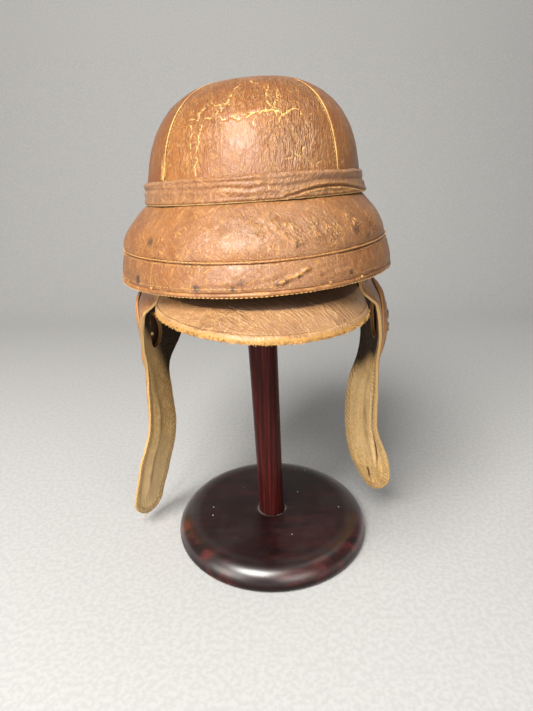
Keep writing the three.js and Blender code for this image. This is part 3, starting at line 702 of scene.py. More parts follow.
crown_leather = leather(
    "crown_leather", LEATHER_TAN, LEATHER_DEEP, LEATHER_GOLD, LEATHER_ROSY_AND_SHEEN,
    craze_cover=0.53, scratch_cover=0.46, gloss=0.39, run=(1.15, 0.34, 1.0))
random = np.random.default_rng(37)
branches = []
for _ in range(CRACK_BRANCHES):
    path = np.array(CRACKS[random.integers(len(CRACKS))])
    first = random.integers(len(path) - 1)
    start = path[first] + random.uniform(0, 1) * (path[first + 1] - path[first])
    heading = random.uniform(0, 2 * np.pi) + np.cumsum(random.normal(0, 0.5, 3))
    step = random.uniform(0.9, 2.6, 3)
    moved = np.cumsum(stacked(step * np.cos(heading) / 1.7, step * np.sin(heading)), 0)
    branches.append(np.concatenate([[start], start + moved]))
crack_paths = [
    ragged(on_crown(np.radians(np.array(path)[:, 0]), rise_at(np.array(path)[:, 1])), CRACK_RAGGED, number)
    for number, path in enumerate(CRACKS + branches)
]
for side, (start, end) in SIDES.items():
    in_front = side == "front"
    cell = FRONT_CELL if in_front else PANEL_CELL
    rows = steps(APEX - PANEL_FOOT, cell, PANEL_THIN)
    columns = steps(CROWN_HALF_WIDTH * np.radians(end - start), cell, PANEL_THIN)
    rise = np.linspace(PANEL_FOOT, APEX - APEX_LEFT_OPEN, rows + 1)[:, None]
    share = np.linspace(0, 1, columns + 1)[None, :]
    radius = np.maximum(CROWN_HALF_WIDTH * np.interp(rise, RISES, ACROSS), 0.5)
    held = np.minimum(PANEL_GAP / 2 / radius, np.radians(end - start) / 3)
    turn = np.radians(start + (end - start) * share) + held * (1 - 2 * share)
    rise = rise + 0 * share
    base = on_crown(turn, rise)
    to_seam = radius * np.radians(end - start) * (0.5 - np.abs(share - 0.5))
    along_seam = np.exp(-to_seam / 3.0) * np.sin(2 * np.pi * rise / 4.2 + 5 * lumps(base, 20, 5)) * 0.16
    detail = 0.30 * lumps(base, 12, 11) + 0.16 * lumps(base, 5.5, 12) + along_seam
    crumple = 0.25 + 0.35 * patches(base, 34, 18, 0.1, 0.8)
    crack = np.zeros(rise.shape)
    soil_and_shade = np.zeros(rise.shape)
    rosy_and_sheen = patches(base, 46, 17, 0.0, 0.6) * 0.3
    height = base[..., 2]
    # Painted shade: darker towards the top of the crown, and on the side panels by their table.
    shade = 1.05 * smooth_step(height, 100, 134) * (0.85 + 0.4 * lumps(base, 18, 28))
    shade = shade + PANEL_SHADE[side]
    if in_front:
        degrees = np.degrees(turn)
        inside = oval_patch(
            degrees - CREASED["turn"], CREASED["turns"], height - CREASED["z"], CREASED["height"])
        upright = base @ turn_about("Y", -12) * [1, 1, 0.28]
        detail += CREASE_DEPTH * inside * crumples(upright, CREASE_SPACING, 21)
        detail += 0.30 * inside * crumples(base @ turn_about("Y", 35) * [1, 1, 0.5], 3.4, 27)
        crumple = np.maximum(crumple, inside)
        # More crumple at the left and the top: deeper wrinkles, and pale wrinkle lines that are partly
        # painted glints.
        left_streaks = bell(degrees + 33, 9) * smooth_step(height, 70, 90)
        crumple = np.maximum(crumple, 0.8 * left_streaks)
        crumple = np.maximum(crumple, 0.7 * smooth_step(height, 112, 122))
        for number, path in enumerate(crack_paths):
            far = away_from(base, path)
            weight = 1.09 if number < MAIN_CRACKS else 0.96
            crack = np.maximum(crack, weight * np.clip(1 - far / CRACK_REACH, 0, 1))
            if number < len(CRACKS):
                detail -= 0.26 * bell(far, 0.9) - 0.12 * bell(far - CRACK_REACH, 1.1)
        crack = np.maximum(crack, 1.3 * np.clip(1 - far_from(base, BUMP_SPOT) / 2.4, 0, 1))
        soil_and_shade += 0.45 * bell(far_from(base, CROWN_SMUDGE), 5)
        # Darker towards the wearer's left of the front panel.
        soil_and_shade += 0.30 * smooth_step(degrees, 16, 34) * (0.8 + 0.6 * lumps(base * [1, 1, 0.5], 14, 29))
        # Painted highlight: a broad pinkish patch on the front panel, a little towards the wearer's left.
        rosy_and_sheen = np.maximum(rosy_and_sheen, oval_patch(degrees - 14, 26, height - 90, 24))
    outwards = outwards_of(base)
    turned_in = PANEL_TURNED_IN * bell(to_seam, 1.6)
    top = base + outwards * (0.55 * lumps(base, 38, 10) + detail - turned_in - 0.25)[..., None]
    under = base - outwards * PANEL_LEATHER
    skin = stacked(radius * turn, rise) * MM
    panel = add_wall(f"crown_{side}", top, under, PANEL_THIN, skin, {
        "relief": as_relief(detail), "crack": crack, "soil_and_shade": soil_and_shade, "rosy_and_sheen": rosy_and_sheen, "crumple": crumple,
        "shade": shade, "cut": 0.6 * bell(to_seam, 0.8),
    })
    panel.data.materials.append(crown_leather)
    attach(panel, "root")
    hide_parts(f"crown_panel_{side}")


# The crown seams
# Where the panels meet, their turned edges stand up in a thin pale ridge, sewn over with waxed linen thread.
# The one on the wearer's right has come apart into strands just above the band.

RIDGE_RADIUS = 0.46
RIDGE_SINK = 0.34
STITCH_PITCH = 3.2
STITCH_RADIUS = 0.24
STITCHES_BESIDE = 1.7
THREAD_PALE = (0.62, 0.37, 0.12, 1)
THREAD_SOILED = (0.36, 0.17, 0.05, 1)
# Near-black brown for painted shadow: the shade under the rim on the ear flaps' inner side and stitches.
PAINTED_SHADOW_BROWN = (0.020, 0.011, 0.006, 1)
FRAYED_SEAM = -52
FRAYED_STRANDS = 9


def tube(path, radius, sides=8, upward=(0, 0, 1)):
    """Points and faces of a closed round tube along a path. radius is one number or one for each point."""
    along = unit(np.gradient(path, axis=0))
    aside = unit(np.cross(along, upward))
    over = np.cross(aside, along)
    radius = np.broadcast_to(radius, len(path)).copy()
    path = np.concatenate([path[:1], path, path[-1:]])
    aside, over = (np.concatenate([axis[:1], axis, axis[-1:]]) for axis in (aside, over))
    radius = np.concatenate([[0], radius, [0]])
    angle = np.linspace(0, 2 * np.pi, sides + 1)[None, :, None]
    ring = np.cos(angle) * aside[:, None] + np.sin(angle) * over[:, None]
    points = path[:, None] + radius[:, None, None] * ring
    return points.reshape(-1, 3), [grid_quads(len(path), sides + 1)]


def joined(parts):
    """Several lots of points and faces as one."""
    points, faces, first = [], [], 0
    for some_points, some_faces in parts:
        points.append(some_points)
        faces += [face + first for face in some_faces]
        first += len(some_points)
    return np.concatenate(points), faces


def stitches(middles, along, outwards, length, radius, rise=0.6):
    """Short threads that each come up, cross and go down: a half turn of a sine over the length, six-sided.
    middles, along and outwards are one row of points and unit directions for each stitch."""
    count, rings, sides = len(middles), 5, 6
    share = np.linspace(-1, 1, rings)[None, :, None]
    lift = rise * radius * np.cos(share * np.pi / 2) - 0.5 * radius
    aside = np.cross(along, outwards)
    spine = middles[:, None] + along[:, None] * share * length / 2 + outwards[:, None] * lift
    thick = radius * np.sqrt(np.maximum(0, 1 - share**4))
    angle = np.linspace(0, 2 * np.pi, sides, endpoint=False)[None, None, :, None]
    around = np.cos(angle) * aside[:, None, None] + np.sin(angle) * outwards[:, None, None]
    points = spine[:, :, None] + thick[:, :, None] * around
    cell = np.arange(rings * sides).reshape(rings, sides)
    cell = np.concatenate([cell, cell[:, :1]], 1)
    quads = stacked(cell[:-1, :-1], cell[1:, :-1], cell[1:, 1:], cell[:-1, 1:]).reshape(-1, 4)
    quads = (quads[None] + np.arange(count)[:, None, None] * rings * sides).reshape(-1, 4)
    return points.reshape(-1, 3), [quads]


def add_sewing(name, parts, material, values=None):
    """Stitches and strands on the helmet, in one piece."""
    points, faces = joined(parts)
    piece = add_piece(name, on_head(points), faces, None, values)
    piece.data.materials.append(material)
    return piece


def thread(name, pale, soiled):
    """Waxed linen thread, pale where it is rubbed, brown where it is soiled and nearly black, as painted
    shadow, where the mesh's attribute for dirt and painted shade is 1."""
    material, tree, shader, here, _ = new_material(name)
    painted_shadow = mark(tree, "soil_and_shade")
    dirt = noise(tree, here, 60, 4, 0.65)
    twist = noise(tree, here, 1500, 2)
    colour = blended(tree, eased(tree, dirt, 0.42, 0.66), pale, soiled)
    colour = blended(tree, eased(tree, twist, 0.45, 0.7, 0.0, 0.5), colour, soiled)
    # Painted shadow: nearly black where the mesh asks for it.
    colour = blended(tree, painted_shadow, colour, PAINTED_SHADOW_BROWN)
    roughness = eased(tree, dirt, 0.3, 0.7, 0.6, 0.85)
    finish_material(tree, shader, colour, roughness, bump(tree, twist, 0.0002, 0.7))
    return material


seam_thread = thread("seam_thread", THREAD_PALE, THREAD_SOILED)
parts = []
for number, (start, _) in enumerate(SIDES.values()):
    rise = np.linspace(PANEL_FOOT + 12, APEX, 190)
    turn = np.radians(start) + 0 * rise
    path = on_crown(turn, rise, RIDGE_SINK)
    wobble = 0.22 * lumps(path, 9, 31 + number) + 0.12 * lumps(path, 3, 41 + number)
    aside = stacked(np.cos(turn), np.sin(turn), 0 * turn)
    radius = RIDGE_RADIUS * (1 + 0.22 * lumps(path, 4, 51 + number))
    parts.append(tube(path + aside * wobble[:, None], radius, 8, (0.3, 0.2, 1)))
    for beside in (-STITCHES_BESIDE, STITCHES_BESIDE):
        held = np.arange(PANEL_FOOT + 14, APEX - 12, STITCH_PITCH)
        turns = np.radians(start) + beside / np.maximum(CROWN_HALF_WIDTH * np.interp(held, RISES, ACROSS), 8)
        middles = on_crown(turns, held, 0.75)
        along = unit(on_crown(turns, held + 1) - on_crown(turns, held - 1))
        outwards = unit(np.cross(along, on_crown(turns + 0.01, held) - on_crown(turns, held)))
        outwards *= np.sign((outwards * middles).sum(-1, keepdims=True))
        parts.append(stitches(middles, along, outwards, 2.3, STITCH_RADIUS))
random = np.random.default_rng(8)
for number in range(FRAYED_STRANDS):
    rise = np.linspace(1, 8 + random.uniform(2, 14), 14)
    drift = random.uniform(-4.5, 4.5) / CROWN_HALF_WIDTH
    turn = np.radians(FRAYED_SEAM) + drift * np.sin(np.linspace(0.3, 1.9, 14)) + random.normal(0, 0.0028, 14)
    parts.append(tube(on_crown(turn, rise, -0.30 + 0.3 * np.linspace(0, 1, 14)), 0.15, 5))
seams = add_sewing("crown_seams", parts, seam_thread)
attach(seams, "root")


# The band
# A strip of the same calf, folded over at both edges and glued round the foot of the panels. It has slipped
# and creased along its middle, and a long pucker has lifted on the wearer's left. Its lower edge is cut raw.

BAND_TOP = 76
BAND_FOOT = 58
BAND_THICKNESS = 1.8
LAYER_GAP = 0.7
BAND_GROOVE = [(-180, 68), (-120, 67), (-75, 70), (-58, 70), (-41, 69), (-26, 68), (-15, 68.5), (-4, 66.5),
               (2, 68), (12, 67), (30, 70), (60, 69), (110, 67), (180, 68)]
BAND_UPPER_FOLD = [(-60, 73), (-30, 72.5), (-8, 72), (4, 71), (14, 72.5), (24, 70.5), (40, 71.5), (60, 73)]
BAND_PUCKER = [(11, 60), (15, 61), (20, 63), (26, 64.6), (33, 65.3), (42, 65), (50, 63.6), (60, 61.5),
               (71, 59)]
GROOVE_DEPTH = 0.62
PUCKER_DEPTH = 1.1
BAND_FLARE = 3.6
BAND_CELL = 1.0
BUMPER_TAN = (0.320, 0.126, 0.032, 1)
BUMPER_DEEP = (0.185, 0.064, 0.018, 1)
BUMPER_GOLD = (0.500, 0.240, 0.066, 1)
BUMPER_CUT = (0.74, 0.50, 0.22, 1)
MEAN_RADIUS = CROWN_HALF_WIDTH + OVAL_EXTRA / 2


def ring_of(columns):
    """Turns once round the oval, the last one at the first again, in a column."""
    return np.linspace(-np.pi, np.pi, columns + 1)[:, None]


def evenly(outline, count):
    """A polyline with count points evenly along it."""
    outline = np.asarray(outline, float)
    along = np.concatenate([[0], np.cumsum(np.linalg.norm(np.diff(outline, axis=0), axis=1))])
    wanted = np.linspace(0, along[-1], count)
    return stacked(np.interp(wanted, along, outline[:, 0]), np.interp(wanted, along, outline[:, 1]))


def between(value, start, full, fading, end):
    """Rises from 0 to 1 by a smooth step from start to full, and falls by another from fading to end."""
    return smooth_step(value, start, full) * (1 - smooth_step(value, fading, end))


def unrolled(turn, z):
    """Millimetres round the crown and up it, as flat points."""
    return stacked(turn * MEAN_RADIUS, z)


def unrolled_path(line):
    line = np.array(line, float)
    return unrolled(np.radians(line[:, 0]), line[:, 1])


def add_ring(name, outside, behind, around, down, values):
    """A closed ring of bumper leather: a grid of points on its outside and those behind it, one loop at each
    turn. The skin is millimetres around and down. The values are the outside's, and what is behind has
    plain ones."""
    section = np.concatenate([outside, *behind, outside[:, :1]], 1)
    skin = stacked(around, down).reshape(-1, 2) * MM
    hidden = section.shape[1] - outside.shape[1]
    carried = {}
    for key, value in values.items():
        value = np.broadcast_to(value, outside.shape[:2])
        plain = np.concatenate([value[:, -1:]] + [value[:, :1] * 0] * (hidden - 1), 1)
        carried[key] = np.concatenate([value, plain], 1).ravel()
    piece = add_piece(name, on_head(section.reshape(-1, 3)), [grid_quads(*section.shape[:2])], skin, carried)
    piece.data.materials.append(bumper_leather)
    return piece


bumper_leather = leather(
    "bumper_leather", BUMPER_TAN, BUMPER_DEEP, BUMPER_GOLD, LEATHER_ROSY_AND_SHEEN,
    craze_cover=0.58, scratch_cover=0.34, gloss=0.37, cut_edge=BUMPER_CUT, turned=38)
turn = ring_of(steps(2 * np.pi * MEAN_RADIUS, BAND_CELL))
degrees = np.degrees(turn)
face = np.linspace(BAND_TOP, BAND_FOOT, 30)[None, :]
out_of_line = 0.7 + BAND_FLARE * between(degrees, 45, 84, 96, 150)
out = LAYER_GAP + BAND_THICKNESS + out_of_line * smooth_step(BAND_TOP - face, 3, 18)
base = on_wall(turn, -out, face)
flat = unrolled(turn, face)
to_groove = np.abs(face - np.interp(degrees, *np.array(BAND_GROOVE).T))
to_fold = away_from(flat, unrolled_path(BAND_UPPER_FOLD))
to_pucker = away_from(flat, unrolled_path(BAND_PUCKER))
below_pucker = np.interp(degrees, *np.array(BAND_PUCKER).T) - face
in_pucker = smooth_step(below_pucker, -0.4, 1.6) * between(degrees, 12, 20, 62, 72)
stretched_points = base * [0.35, 0.35, 1.6]
detail = (
    -GROOVE_DEPTH * bell(to_groove, 1.1) * (0.75 + 0.4 * lumps(base, 24, 61))
    + 0.40 * bell(to_groove - 2.6, 1.5)
    - 0.28 * bell(to_fold, 0.8)
    - PUCKER_DEPTH * bell(to_pucker, 0.8) + 0.7 * bell(to_pucker - 1.8, 0.8)
    + in_pucker * (0.3 + 0.7 * crumples(base * [0.5, 0.5, 1], 4.2, 69))
    + 0.22 * lumps(stretched_points, 7, 62) + 0.14 * lumps(base, 5, 63) + 0.08 * lumps(base, 3, 64)
)
to_edge = np.minimum(BAND_TOP - face, face - BAND_FOOT)
rounded = 1.1 * bell(to_edge, 0.9) - 0.45 * bell(to_edge - 2.2, 1.0)
wavy_top = 0.5 * lumps(on_wall(turn, 0, BAND_TOP + 0 * turn), 16, 65) * smooth_step(face, 66, 76)
outside = on_wall(turn, -(out + detail - rounded), face + wavy_top)
foot = on_wall(turn, -out[:, -1:] + BAND_THICKNESS, np.array([[BAND_FOOT]]))
back = on_wall(turn, -LAYER_GAP, np.array([[(BAND_FOOT + BAND_TOP) / 2, BAND_TOP - 0.2]]))
skin_down = np.concatenate([face, BAND_FOOT - np.array([[1, 6, 12, 18]])], 1)
# Painted sheen: pinkish over the front and the wearer's left.
painted_sheen = between(degrees, -14, 16, 55, 75)
scuff_and_painted_light = 0.35 * in_pucker + 0.25 * patches(base, 22, 66, 0.3, 0.9)
# Painted light: paler towards the wearer's left, where the band faces away from the lamps.
scuff_and_painted_light = scuff_and_painted_light + 0.3 * smooth_step(degrees, 20, 45)
raw = 1.3 * bell(face - BAND_FOOT, 0.8) + 0.60 * bell(face - BAND_TOP, 0.8)
raw = raw + 0.62 * bell(to_pucker - 1.6, 0.5) * smooth_step(degrees, 22, 34)
band = add_ring("band", outside, [foot, back], turn * MEAN_RADIUS, skin_down, {
    "relief": as_relief(detail, 1.2), "scuff": scuff_and_painted_light, "cut": raw,
    "rosy_and_sheen": np.maximum(patches(base, 40, 67, -0.2, 0.6) * 0.9, painted_sheen),
    "soil_and_shade": 0.35 * patches(base, 18, 68, 0.35, 0.8),
    "crumple": 0.35 + 0.6 * in_pucker,
})
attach(band, "root")
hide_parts("crown_band")


# The bumper roll
# A tube of calf stuffed hard with horsehair, which takes the knocks. It is sewn in under the band and along
# the welt below, where the stitches gather it. The front is scratched, and crumpled on the wearer's left.

BUMPER_BASE = 95
ROLL_SWELL = 19.8
ROLL_FULLNESS = 1.05
ROLL_RADIUS = 118
LENGTHWISE_SWELL = 1.25
SEAM_FRONT_DIP = 3.5
WELT_RADIUS = 1.0
NEIGHBOUR_GAP = 0.4
WELT_GAP = 0.12
BUMPER_INSIDE = 2.0
BUMPER_CIRCLE = 2 * np.pi * 126
BUMPER_CELL = 1.25
CRUMPLED = [(-2, 41, 7), (4, 44, 7), (10, 41, 8), (13, 33, 7), (20, 38, 9), (28, 36, 11),
            (40, 40, 10), (52, 36, 10)]
ROLL_SMUDGES = [(12, 30, 5), (6, 33, 4), (40, 33, 9), (47, 30, 8), (-47, 34, 6), (150, 34, 9)]


def seam_z(turn):
    return SEAM_Z - SEAM_FRONT_DIP * np.maximum(0, np.cos(turn)) ** 2


def on_bumper(turn, out, z):
    """Points that stand out from the foot of the band, a quarter further in front and behind than aside."""
    return on_oval(turn, BUMPER_BASE + out, BUMPER_BASE + OVAL_EXTRA + out * LENGTHWISE_SWELL, z)


def spots(turn, z, table):
    """The most of several soft round patches, each by degrees round, height and radius."""
    most = 0
    for degrees, height, radius in table:
        round_by = (np.degrees(turn) - degrees + 180) % 360 - 180
        far = np.hypot(np.radians(round_by) * 120, z - height) / radius
        most = np.maximum(most, np.exp(-(far**2)))
    return most


turn = ring_of(steps(BUMPER_CIRCLE, BUMPER_CELL))
degrees = np.degrees(turn)
top = BAND_FOOT - NEIGHBOUR_GAP
down = np.linspace(0, 1, 400)
outline = stacked(ROLL_SWELL * np.sin(down * np.pi / 2) ** ROLL_FULLNESS, down * (top - SEAM_Z))
down = evenly(outline, 38)[:, 1][None, :] / (top - SEAM_Z)
foot = seam_z(turn) + WELT_RADIUS + WELT_GAP
z = top + (foot - top) * down
base = on_bumper(turn, ROLL_SWELL * np.sin(down * np.pi / 2) ** ROLL_FULLNESS, z)
above_seam = z - foot
gathers = 0.42 * crumples(base * [1, 1, 0.3], 6.5, 71) * np.exp(-above_seam / 7)
crumple = np.maximum(spots(turn, z, CRUMPLED), 0.45 * patches(base, 40, 73, 0.3, 0.8))
leaning = base @ turn_about("Y", -38) * [1, 1, 0.4]
swell = dented(base, 74, 0.8)
detail = (
    swell + gathers + 0.9 * crumple * lumps(base, 6.5, 77)
    + 1.5 * crumple * crumples(base * [1, 1, 0.8], 6, 78)
    + 0.9 * crumple * crumples(base, 3.8, 79)
    + 0.5 * crumples(leaning, 7, 84) * patches(base, 34, 81, -0.2, 0.6)
)
tucked = 0.25 * bell(above_seam, 0.9) + 0.7 * bell(z - top, 1.2)
outside = base + outwards_of(base) * (detail - tucked)[..., None]
inside = on_wall(turn, BUMPER_INSIDE, np.concatenate([foot, top + 0 * foot], 1))
skin_down = np.concatenate([down * 45, np.array([[46, 70, 75]])], 1)
# Painted sheen and a painted highlight, pinkish, across the front; painted shade towards both sides.
painted_sheen = smooth_step(degrees, -30, 20)
painted_highlight = oval_patch(degrees + 4, 26, z - 42, 14)
roll_painted_shade = 0.45 * smooth_step(degrees, 26, 50) + 0.30 * (1 - smooth_step(degrees, -44, -24))
roll = add_ring("roll", outside, [inside], turn * ROLL_RADIUS, skin_down, {
    "relief": as_relief(detail - swell, 1.0),
    "rosy_and_sheen": np.maximum(0.8 * patches(base, 44, 82, -0.3, 0.5) * painted_sheen, painted_highlight),
    "soil_and_shade": 0.62 * spots(turn, z, ROLL_SMUDGES) + 0.3 * patches(base, 21, 83, 0.4, 0.9),
    # The crumpled patches are paler, as wear and painted highlight.
    "scuff": 0.25 * patches(base, 11, 84, 0.6, 0.95) + 0.24 * crumple,
    "crumple": np.maximum(crumple, 0.08 + 0.30 * patches(base, 25, 86, 0, 0.7)),
    "cut": 0.5 * bell(z - top, 0.8),
    "shade": roll_painted_shade * (0.8 + 0.5 * lumps(base, 15, 85)),
})
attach(roll, "root")
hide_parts("bumper_roll")


# The bumper skirt
# The lower part of the bumper, padded flatter and closed underneath by a strip of leather. It carries the
# worst of the wear: a long tear in front where the glaze has peeled, and dark rubbed places near the rim.

SKIRT_TOP_OUT = 20.2
SKIRT_FOOT_OUT = 24.4
SKIRT_BULGE = 0.9
RIM_WELT_RADIUS = 1.8
UNDERSIDE_OUT = 19
SKIRT_RADIUS = 124
TEAR = [(4.5, 6.4), (6.5, 7.6), (9, 9.6), (11.5, 10.6), (14, 12.6), (15.5, 13.4)]
SKIRT_FOLDS = [
    [(-6, 5.5), (0, 7.5), (8, 10), (18, 12.5), (28, 14)],
    [(-26, 4), (-18, 5.6), (-9, 5)],
    [(20, 8), (27, 11), (33, 11)],
]
SKIRT_SMUDGES = [(7, 7.6, 2.6), (11.5, 9, 2.2), (-53, 6.5, 5), (-8, 8, 5), (-11, 4, 4), (4, 5.5, 4),
                 (33, 6, 4), (-24, 4.5, 5), (-120, 10, 8)]
STREAK = [(-30, 4.6), (-24, 4.2), (-16, 3.6), (-9, 4)]


def skirt_out(down):
    """How far the skirt stands out, down from 0 at its top to 1 at its foot: a flare that bulges a little."""
    return SKIRT_TOP_OUT + (SKIRT_FOOT_OUT - SKIRT_TOP_OUT) * down + SKIRT_BULGE * np.sin(down * np.pi)


def bumper_path(line):
    line = np.array(line, float)
    return stacked(np.radians(line[:, 0]) * SKIRT_RADIUS, line[:, 1])


foot = rim_z(turn) + RIM_WELT_RADIUS
top = seam_z(turn) - WELT_RADIUS - WELT_GAP
down = np.linspace(0, 1, 19)[None, :]
z = top + (foot - top) * down
base = on_bumper(turn, skirt_out(down), z)
flat = stacked(turn * SKIRT_RADIUS, z)
below_seam = top - z
to_tear = away_from(flat, ragged(bumper_path(TEAR), 1.0, 5))
to_fold = np.min([away_from(flat, bumper_path(fold)) for fold in SKIRT_FOLDS], 0)
to_streak = away_from(flat, bumper_path(STREAK))
gathers = 0.40 * crumples(base * [1, 1, 0.3], 6, 88) * np.exp(-below_seam / 6)
torn = np.clip(1 - to_tear / 2.0, 0, 1)
leaning = base @ turn_about("Y", -50) * [1, 1, 0.4]
swell = dented(base, 91, 0.55)
detail = (
    swell + gathers + 0.4 * crumples(leaning, 6, 94)
    - 0.4 * bell(to_fold, 1.0) + 0.25 * bell(to_fold - 2.6, 1.5)
    + 1.3 * smooth_step(torn, 0.1, 0.7) * (0.6 + 0.9 * lumps(base, 2.2, 96))
    - 0.6 * bell(to_tear - 2.8, 0.9)
)
tucked = 0.25 * bell(below_seam, 0.9) + 0.5 * bell(z - foot, 1.2)
outside = base + outwards_of(base, (1, 1, 0)) * (detail - tucked)[..., None]
under_out = np.array([UNDERSIDE_OUT, 12.0, 4.0])
sag = np.array([0.0, 0.5, 0.3])
under = on_bumper(turn, under_out[None, :], rim_z(turn) - sag[None, :] * (1 + 0.3 * np.sin(40 * turn)))
inside = on_wall(turn, BUMPER_INSIDE, np.concatenate([rim_z(turn), top], 1))
skin_down = np.concatenate([down * 22, np.array([[26, 34, 42, 50, 70, 92]])], 1)
skirt = add_ring("skirt", outside, [under, inside], turn * SKIRT_RADIUS, skin_down, {
    "relief": as_relief(detail - swell, 1.0),
    "rosy_and_sheen": patches(base, 44, 97, -0.3, 0.5) * 0.8,
    "soil_and_shade": 0.75 * spots(turn, z, SKIRT_SMUDGES) + 0.3 * patches(base, 19, 98, 0.4, 0.9),
    "scuff": np.maximum(0.62 * smooth_step(torn, 0.05, 0.5), 0.5 * bell(to_streak, 1.6)),
    "crack": 0.62 * np.clip(1 - np.abs(to_tear - 1.6) / 1.2, 0, 1),
    "crumple": 0.12 + 0.4 * patches(base, 25, 99, 0, 0.7) + 0.6 * torn,
    # Painted shade: darker all round, and more so towards the wearer's right.
    "shade": 0.42 + 0.45 * (1 - smooth_step(degrees, -56, -34)) + 0.25 * lumps(base, 24, 100),
})
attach(skirt, "root")
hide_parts("bumper_skirt")


# The welts
# A piped cord in a strip of leather runs between the roll and the skirt, and a thicker one binds the lower
# edge. Linen thread shows beside both where the leather has shrunk back, with a knot here and there.

WELT_OUT = 19.6
RIM_WELT_OUT = 23.2
RIM_WELT_DROP = 0.25
WELT_STITCH = 3.4
WELT_TAN = (0.310, 0.120, 0.032, 1)
WELT_DEEP = (0.150, 0.052, 0.016, 1)
WELT_GOLD = (0.520, 0.270, 0.085, 1)
UPRIGHT = np.array([0.0, 0.0, 1.0])
KNOTS = [(-44, 2.6), (23, 2.4), (38, 1.6), (-62, 3), (95, 2), (160, 2.5), (-128, 2.2)]

welt_leather = leather(
    "welt_leather", WELT_TAN, WELT_DEEP, WELT_GOLD, LEATHER_ROSY_AND_SHEEN,
    craze_cover=0.50, scratch_cover=0.50, gloss=0.46)


def welt(name, radius, out, z, lump_seed):
    """A round cord right round the bumper: ring sections, thicker and thinner by a tenth along the way."""
    along = ring_of(steps(BUMPER_CIRCLE, 1.0))
    angle = np.linspace(0, 2 * np.pi, 13)[None, :]
    middle = on_bumper(along, out, z(along))[:, 0]
    swell = 1 + 0.10 * lumps(middle, 6, lump_seed) + 0.05 * lumps(middle, 2.4, lump_seed + 1)
    grown = radius * swell[:, None]
    section = on_bumper(along, out + grown * np.cos(angle), z(along) + grown * np.sin(angle))
    skin = stacked(SKIRT_RADIUS * along, radius * angle).reshape(-1, 2) * MM
    # Relief round the cord: rubbed gold where it stands out, and painted shade on its underside.
    outermost = np.clip(np.cos(angle - 0.5), -0.4, 1)
    rubbed = 0.42 + 0.38 * outermost * (0.7 + 0.6 * lumps(middle, 7, 103))[:, None]
    cut = (0.38 + 0.25 * lumps(middle, 8, 104))[:, None] * bell(angle - 0.7, 0.4)
    piece = add_piece(name, on_head(section.reshape(-1, 3)), [grid_quads(*section.shape[:2])], skin,
                      {"relief": rubbed.ravel(), "cut": cut.ravel()})
    piece.data.materials.append(welt_leather)
    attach(piece, "root")
    return piece


def bumper_stitches(out, z, length, radius, pitch=WELT_STITCH, lean=0.0):
    """Stitches along a line round the bumper. lean turns each one out of line, as a share of its length."""
    dense = ring_of(2000)[:-1, 0]
    line = on_bumper(dense, out, z(dense))
    travelled = np.cumsum(np.linalg.norm(np.diff(line, axis=0, append=line[:1]), axis=1))
    at = np.interp(np.arange(0, travelled[-1], pitch), travelled, dense)
    middles = on_bumper(at, out, z(at))
    along = unit(on_bumper(at + 0.004, out, z(at + 0.004)) - on_bumper(at - 0.004, out, z(at - 0.004)))
    along = unit(along + lean * UPRIGHT)
    outwards = np.cross(along, UPRIGHT)
    outwards *= np.sign((outwards * middles).sum(-1, keepdims=True))
    outwards = unit(outwards)
    jitter = 0.22 * lumps(middles, 5, 107)[:, None]
    return stitches(middles + UPRIGHT * jitter, along, outwards, length, radius)


roll_cord = welt("roll_cord", WELT_RADIUS, WELT_OUT, seam_z, 101)
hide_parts("roll_welt")
rim_cord = welt("rim_cord", RIM_WELT_RADIUS, RIM_WELT_OUT, lambda along: rim_z(along) - RIM_WELT_DROP, 105)
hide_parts("rim_welt")

parts = [
    bumper_stitches(WELT_OUT + WELT_RADIUS - 0.05, lambda at: seam_z(at) + 0.4, 2.8, 0.27),
    bumper_stitches(skirt_out(0.08) - 0.1, lambda at: seam_z(at) - 2.4, 2.2, 0.22),
    bumper_stitches(RIM_WELT_OUT + RIM_WELT_RADIUS - 0.05, lambda at: rim_z(at) - 1.6, 2.7, 0.28, 3.4),
    bumper_stitches(skirt_out(0.86) - 0.05, lambda at: rim_z(at) + 4.2, 2.2, 0.22, 3.4),
]
for degrees, z_up in KNOTS:
    at = np.radians(degrees)
    middle = on_bumper(at, SKIRT_FOOT_OUT + 0.5, rim_z(at) + z_up)
    loop = np.linspace(0, 2 * np.pi, 16, endpoint=False)[:, None]
    path = middle + 0.6 * np.concatenate([np.cos(loop), 0.4 * np.sin(2 * loop), np.sin(loop)], 1)
    parts.append(tube(path, 0.36, 6))
bumper_thread = add_sewing("bumper_thread", parts, seam_thread)
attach(bumper_thread, "root")


# The peak
# A half-moon of two leathers over a stiffener, hung nearly level under the front of the rim. A line of
# stitches runs 8 mm inside its edge, and the edge itself is worn through to pale frayed fibre.

PEAK_ROOT_TURN = 64
PEAK_ROOT_INSET = 7
PEAK_HALF_WIDTH = 84
PEAK_CORNER_Y = -82
PEAK_REACH = 83
PEAK_CORNER_Z = -23
PEAK_FRONT_Z = -27
PEAK_NARROWING = 0.12
PEAK_LEAN = 0.07
PEAK_CAMBER = 2.5
PEAK_DROOP = 1.15
PEAK_THICKNESS = 3.6
PEAK_ACROSS = 190
PEAK_DEPTH = 80
PEAK_STITCHED = 5.4
PEAK_STITCH = 3.0
FRAY_FIBRES = 900
FRAY_PALE = (0.56, 0.33, 0.095, 1)
FRAY_BROWN = (0.15, 0.065, 0.020, 1)
PEAK_TAN = (0.372, 0.197, 0.086, 1)
PEAK_DEEP = (0.235, 0.108, 0.043, 1)
PEAK_GOLD = (0.560, 0.330, 0.145, 1)
PEAK_ROSY = (0.385, 0.235, 0.130, 1)
PEAK_EDGE = (0.42, 0.215, 0.055, 1)


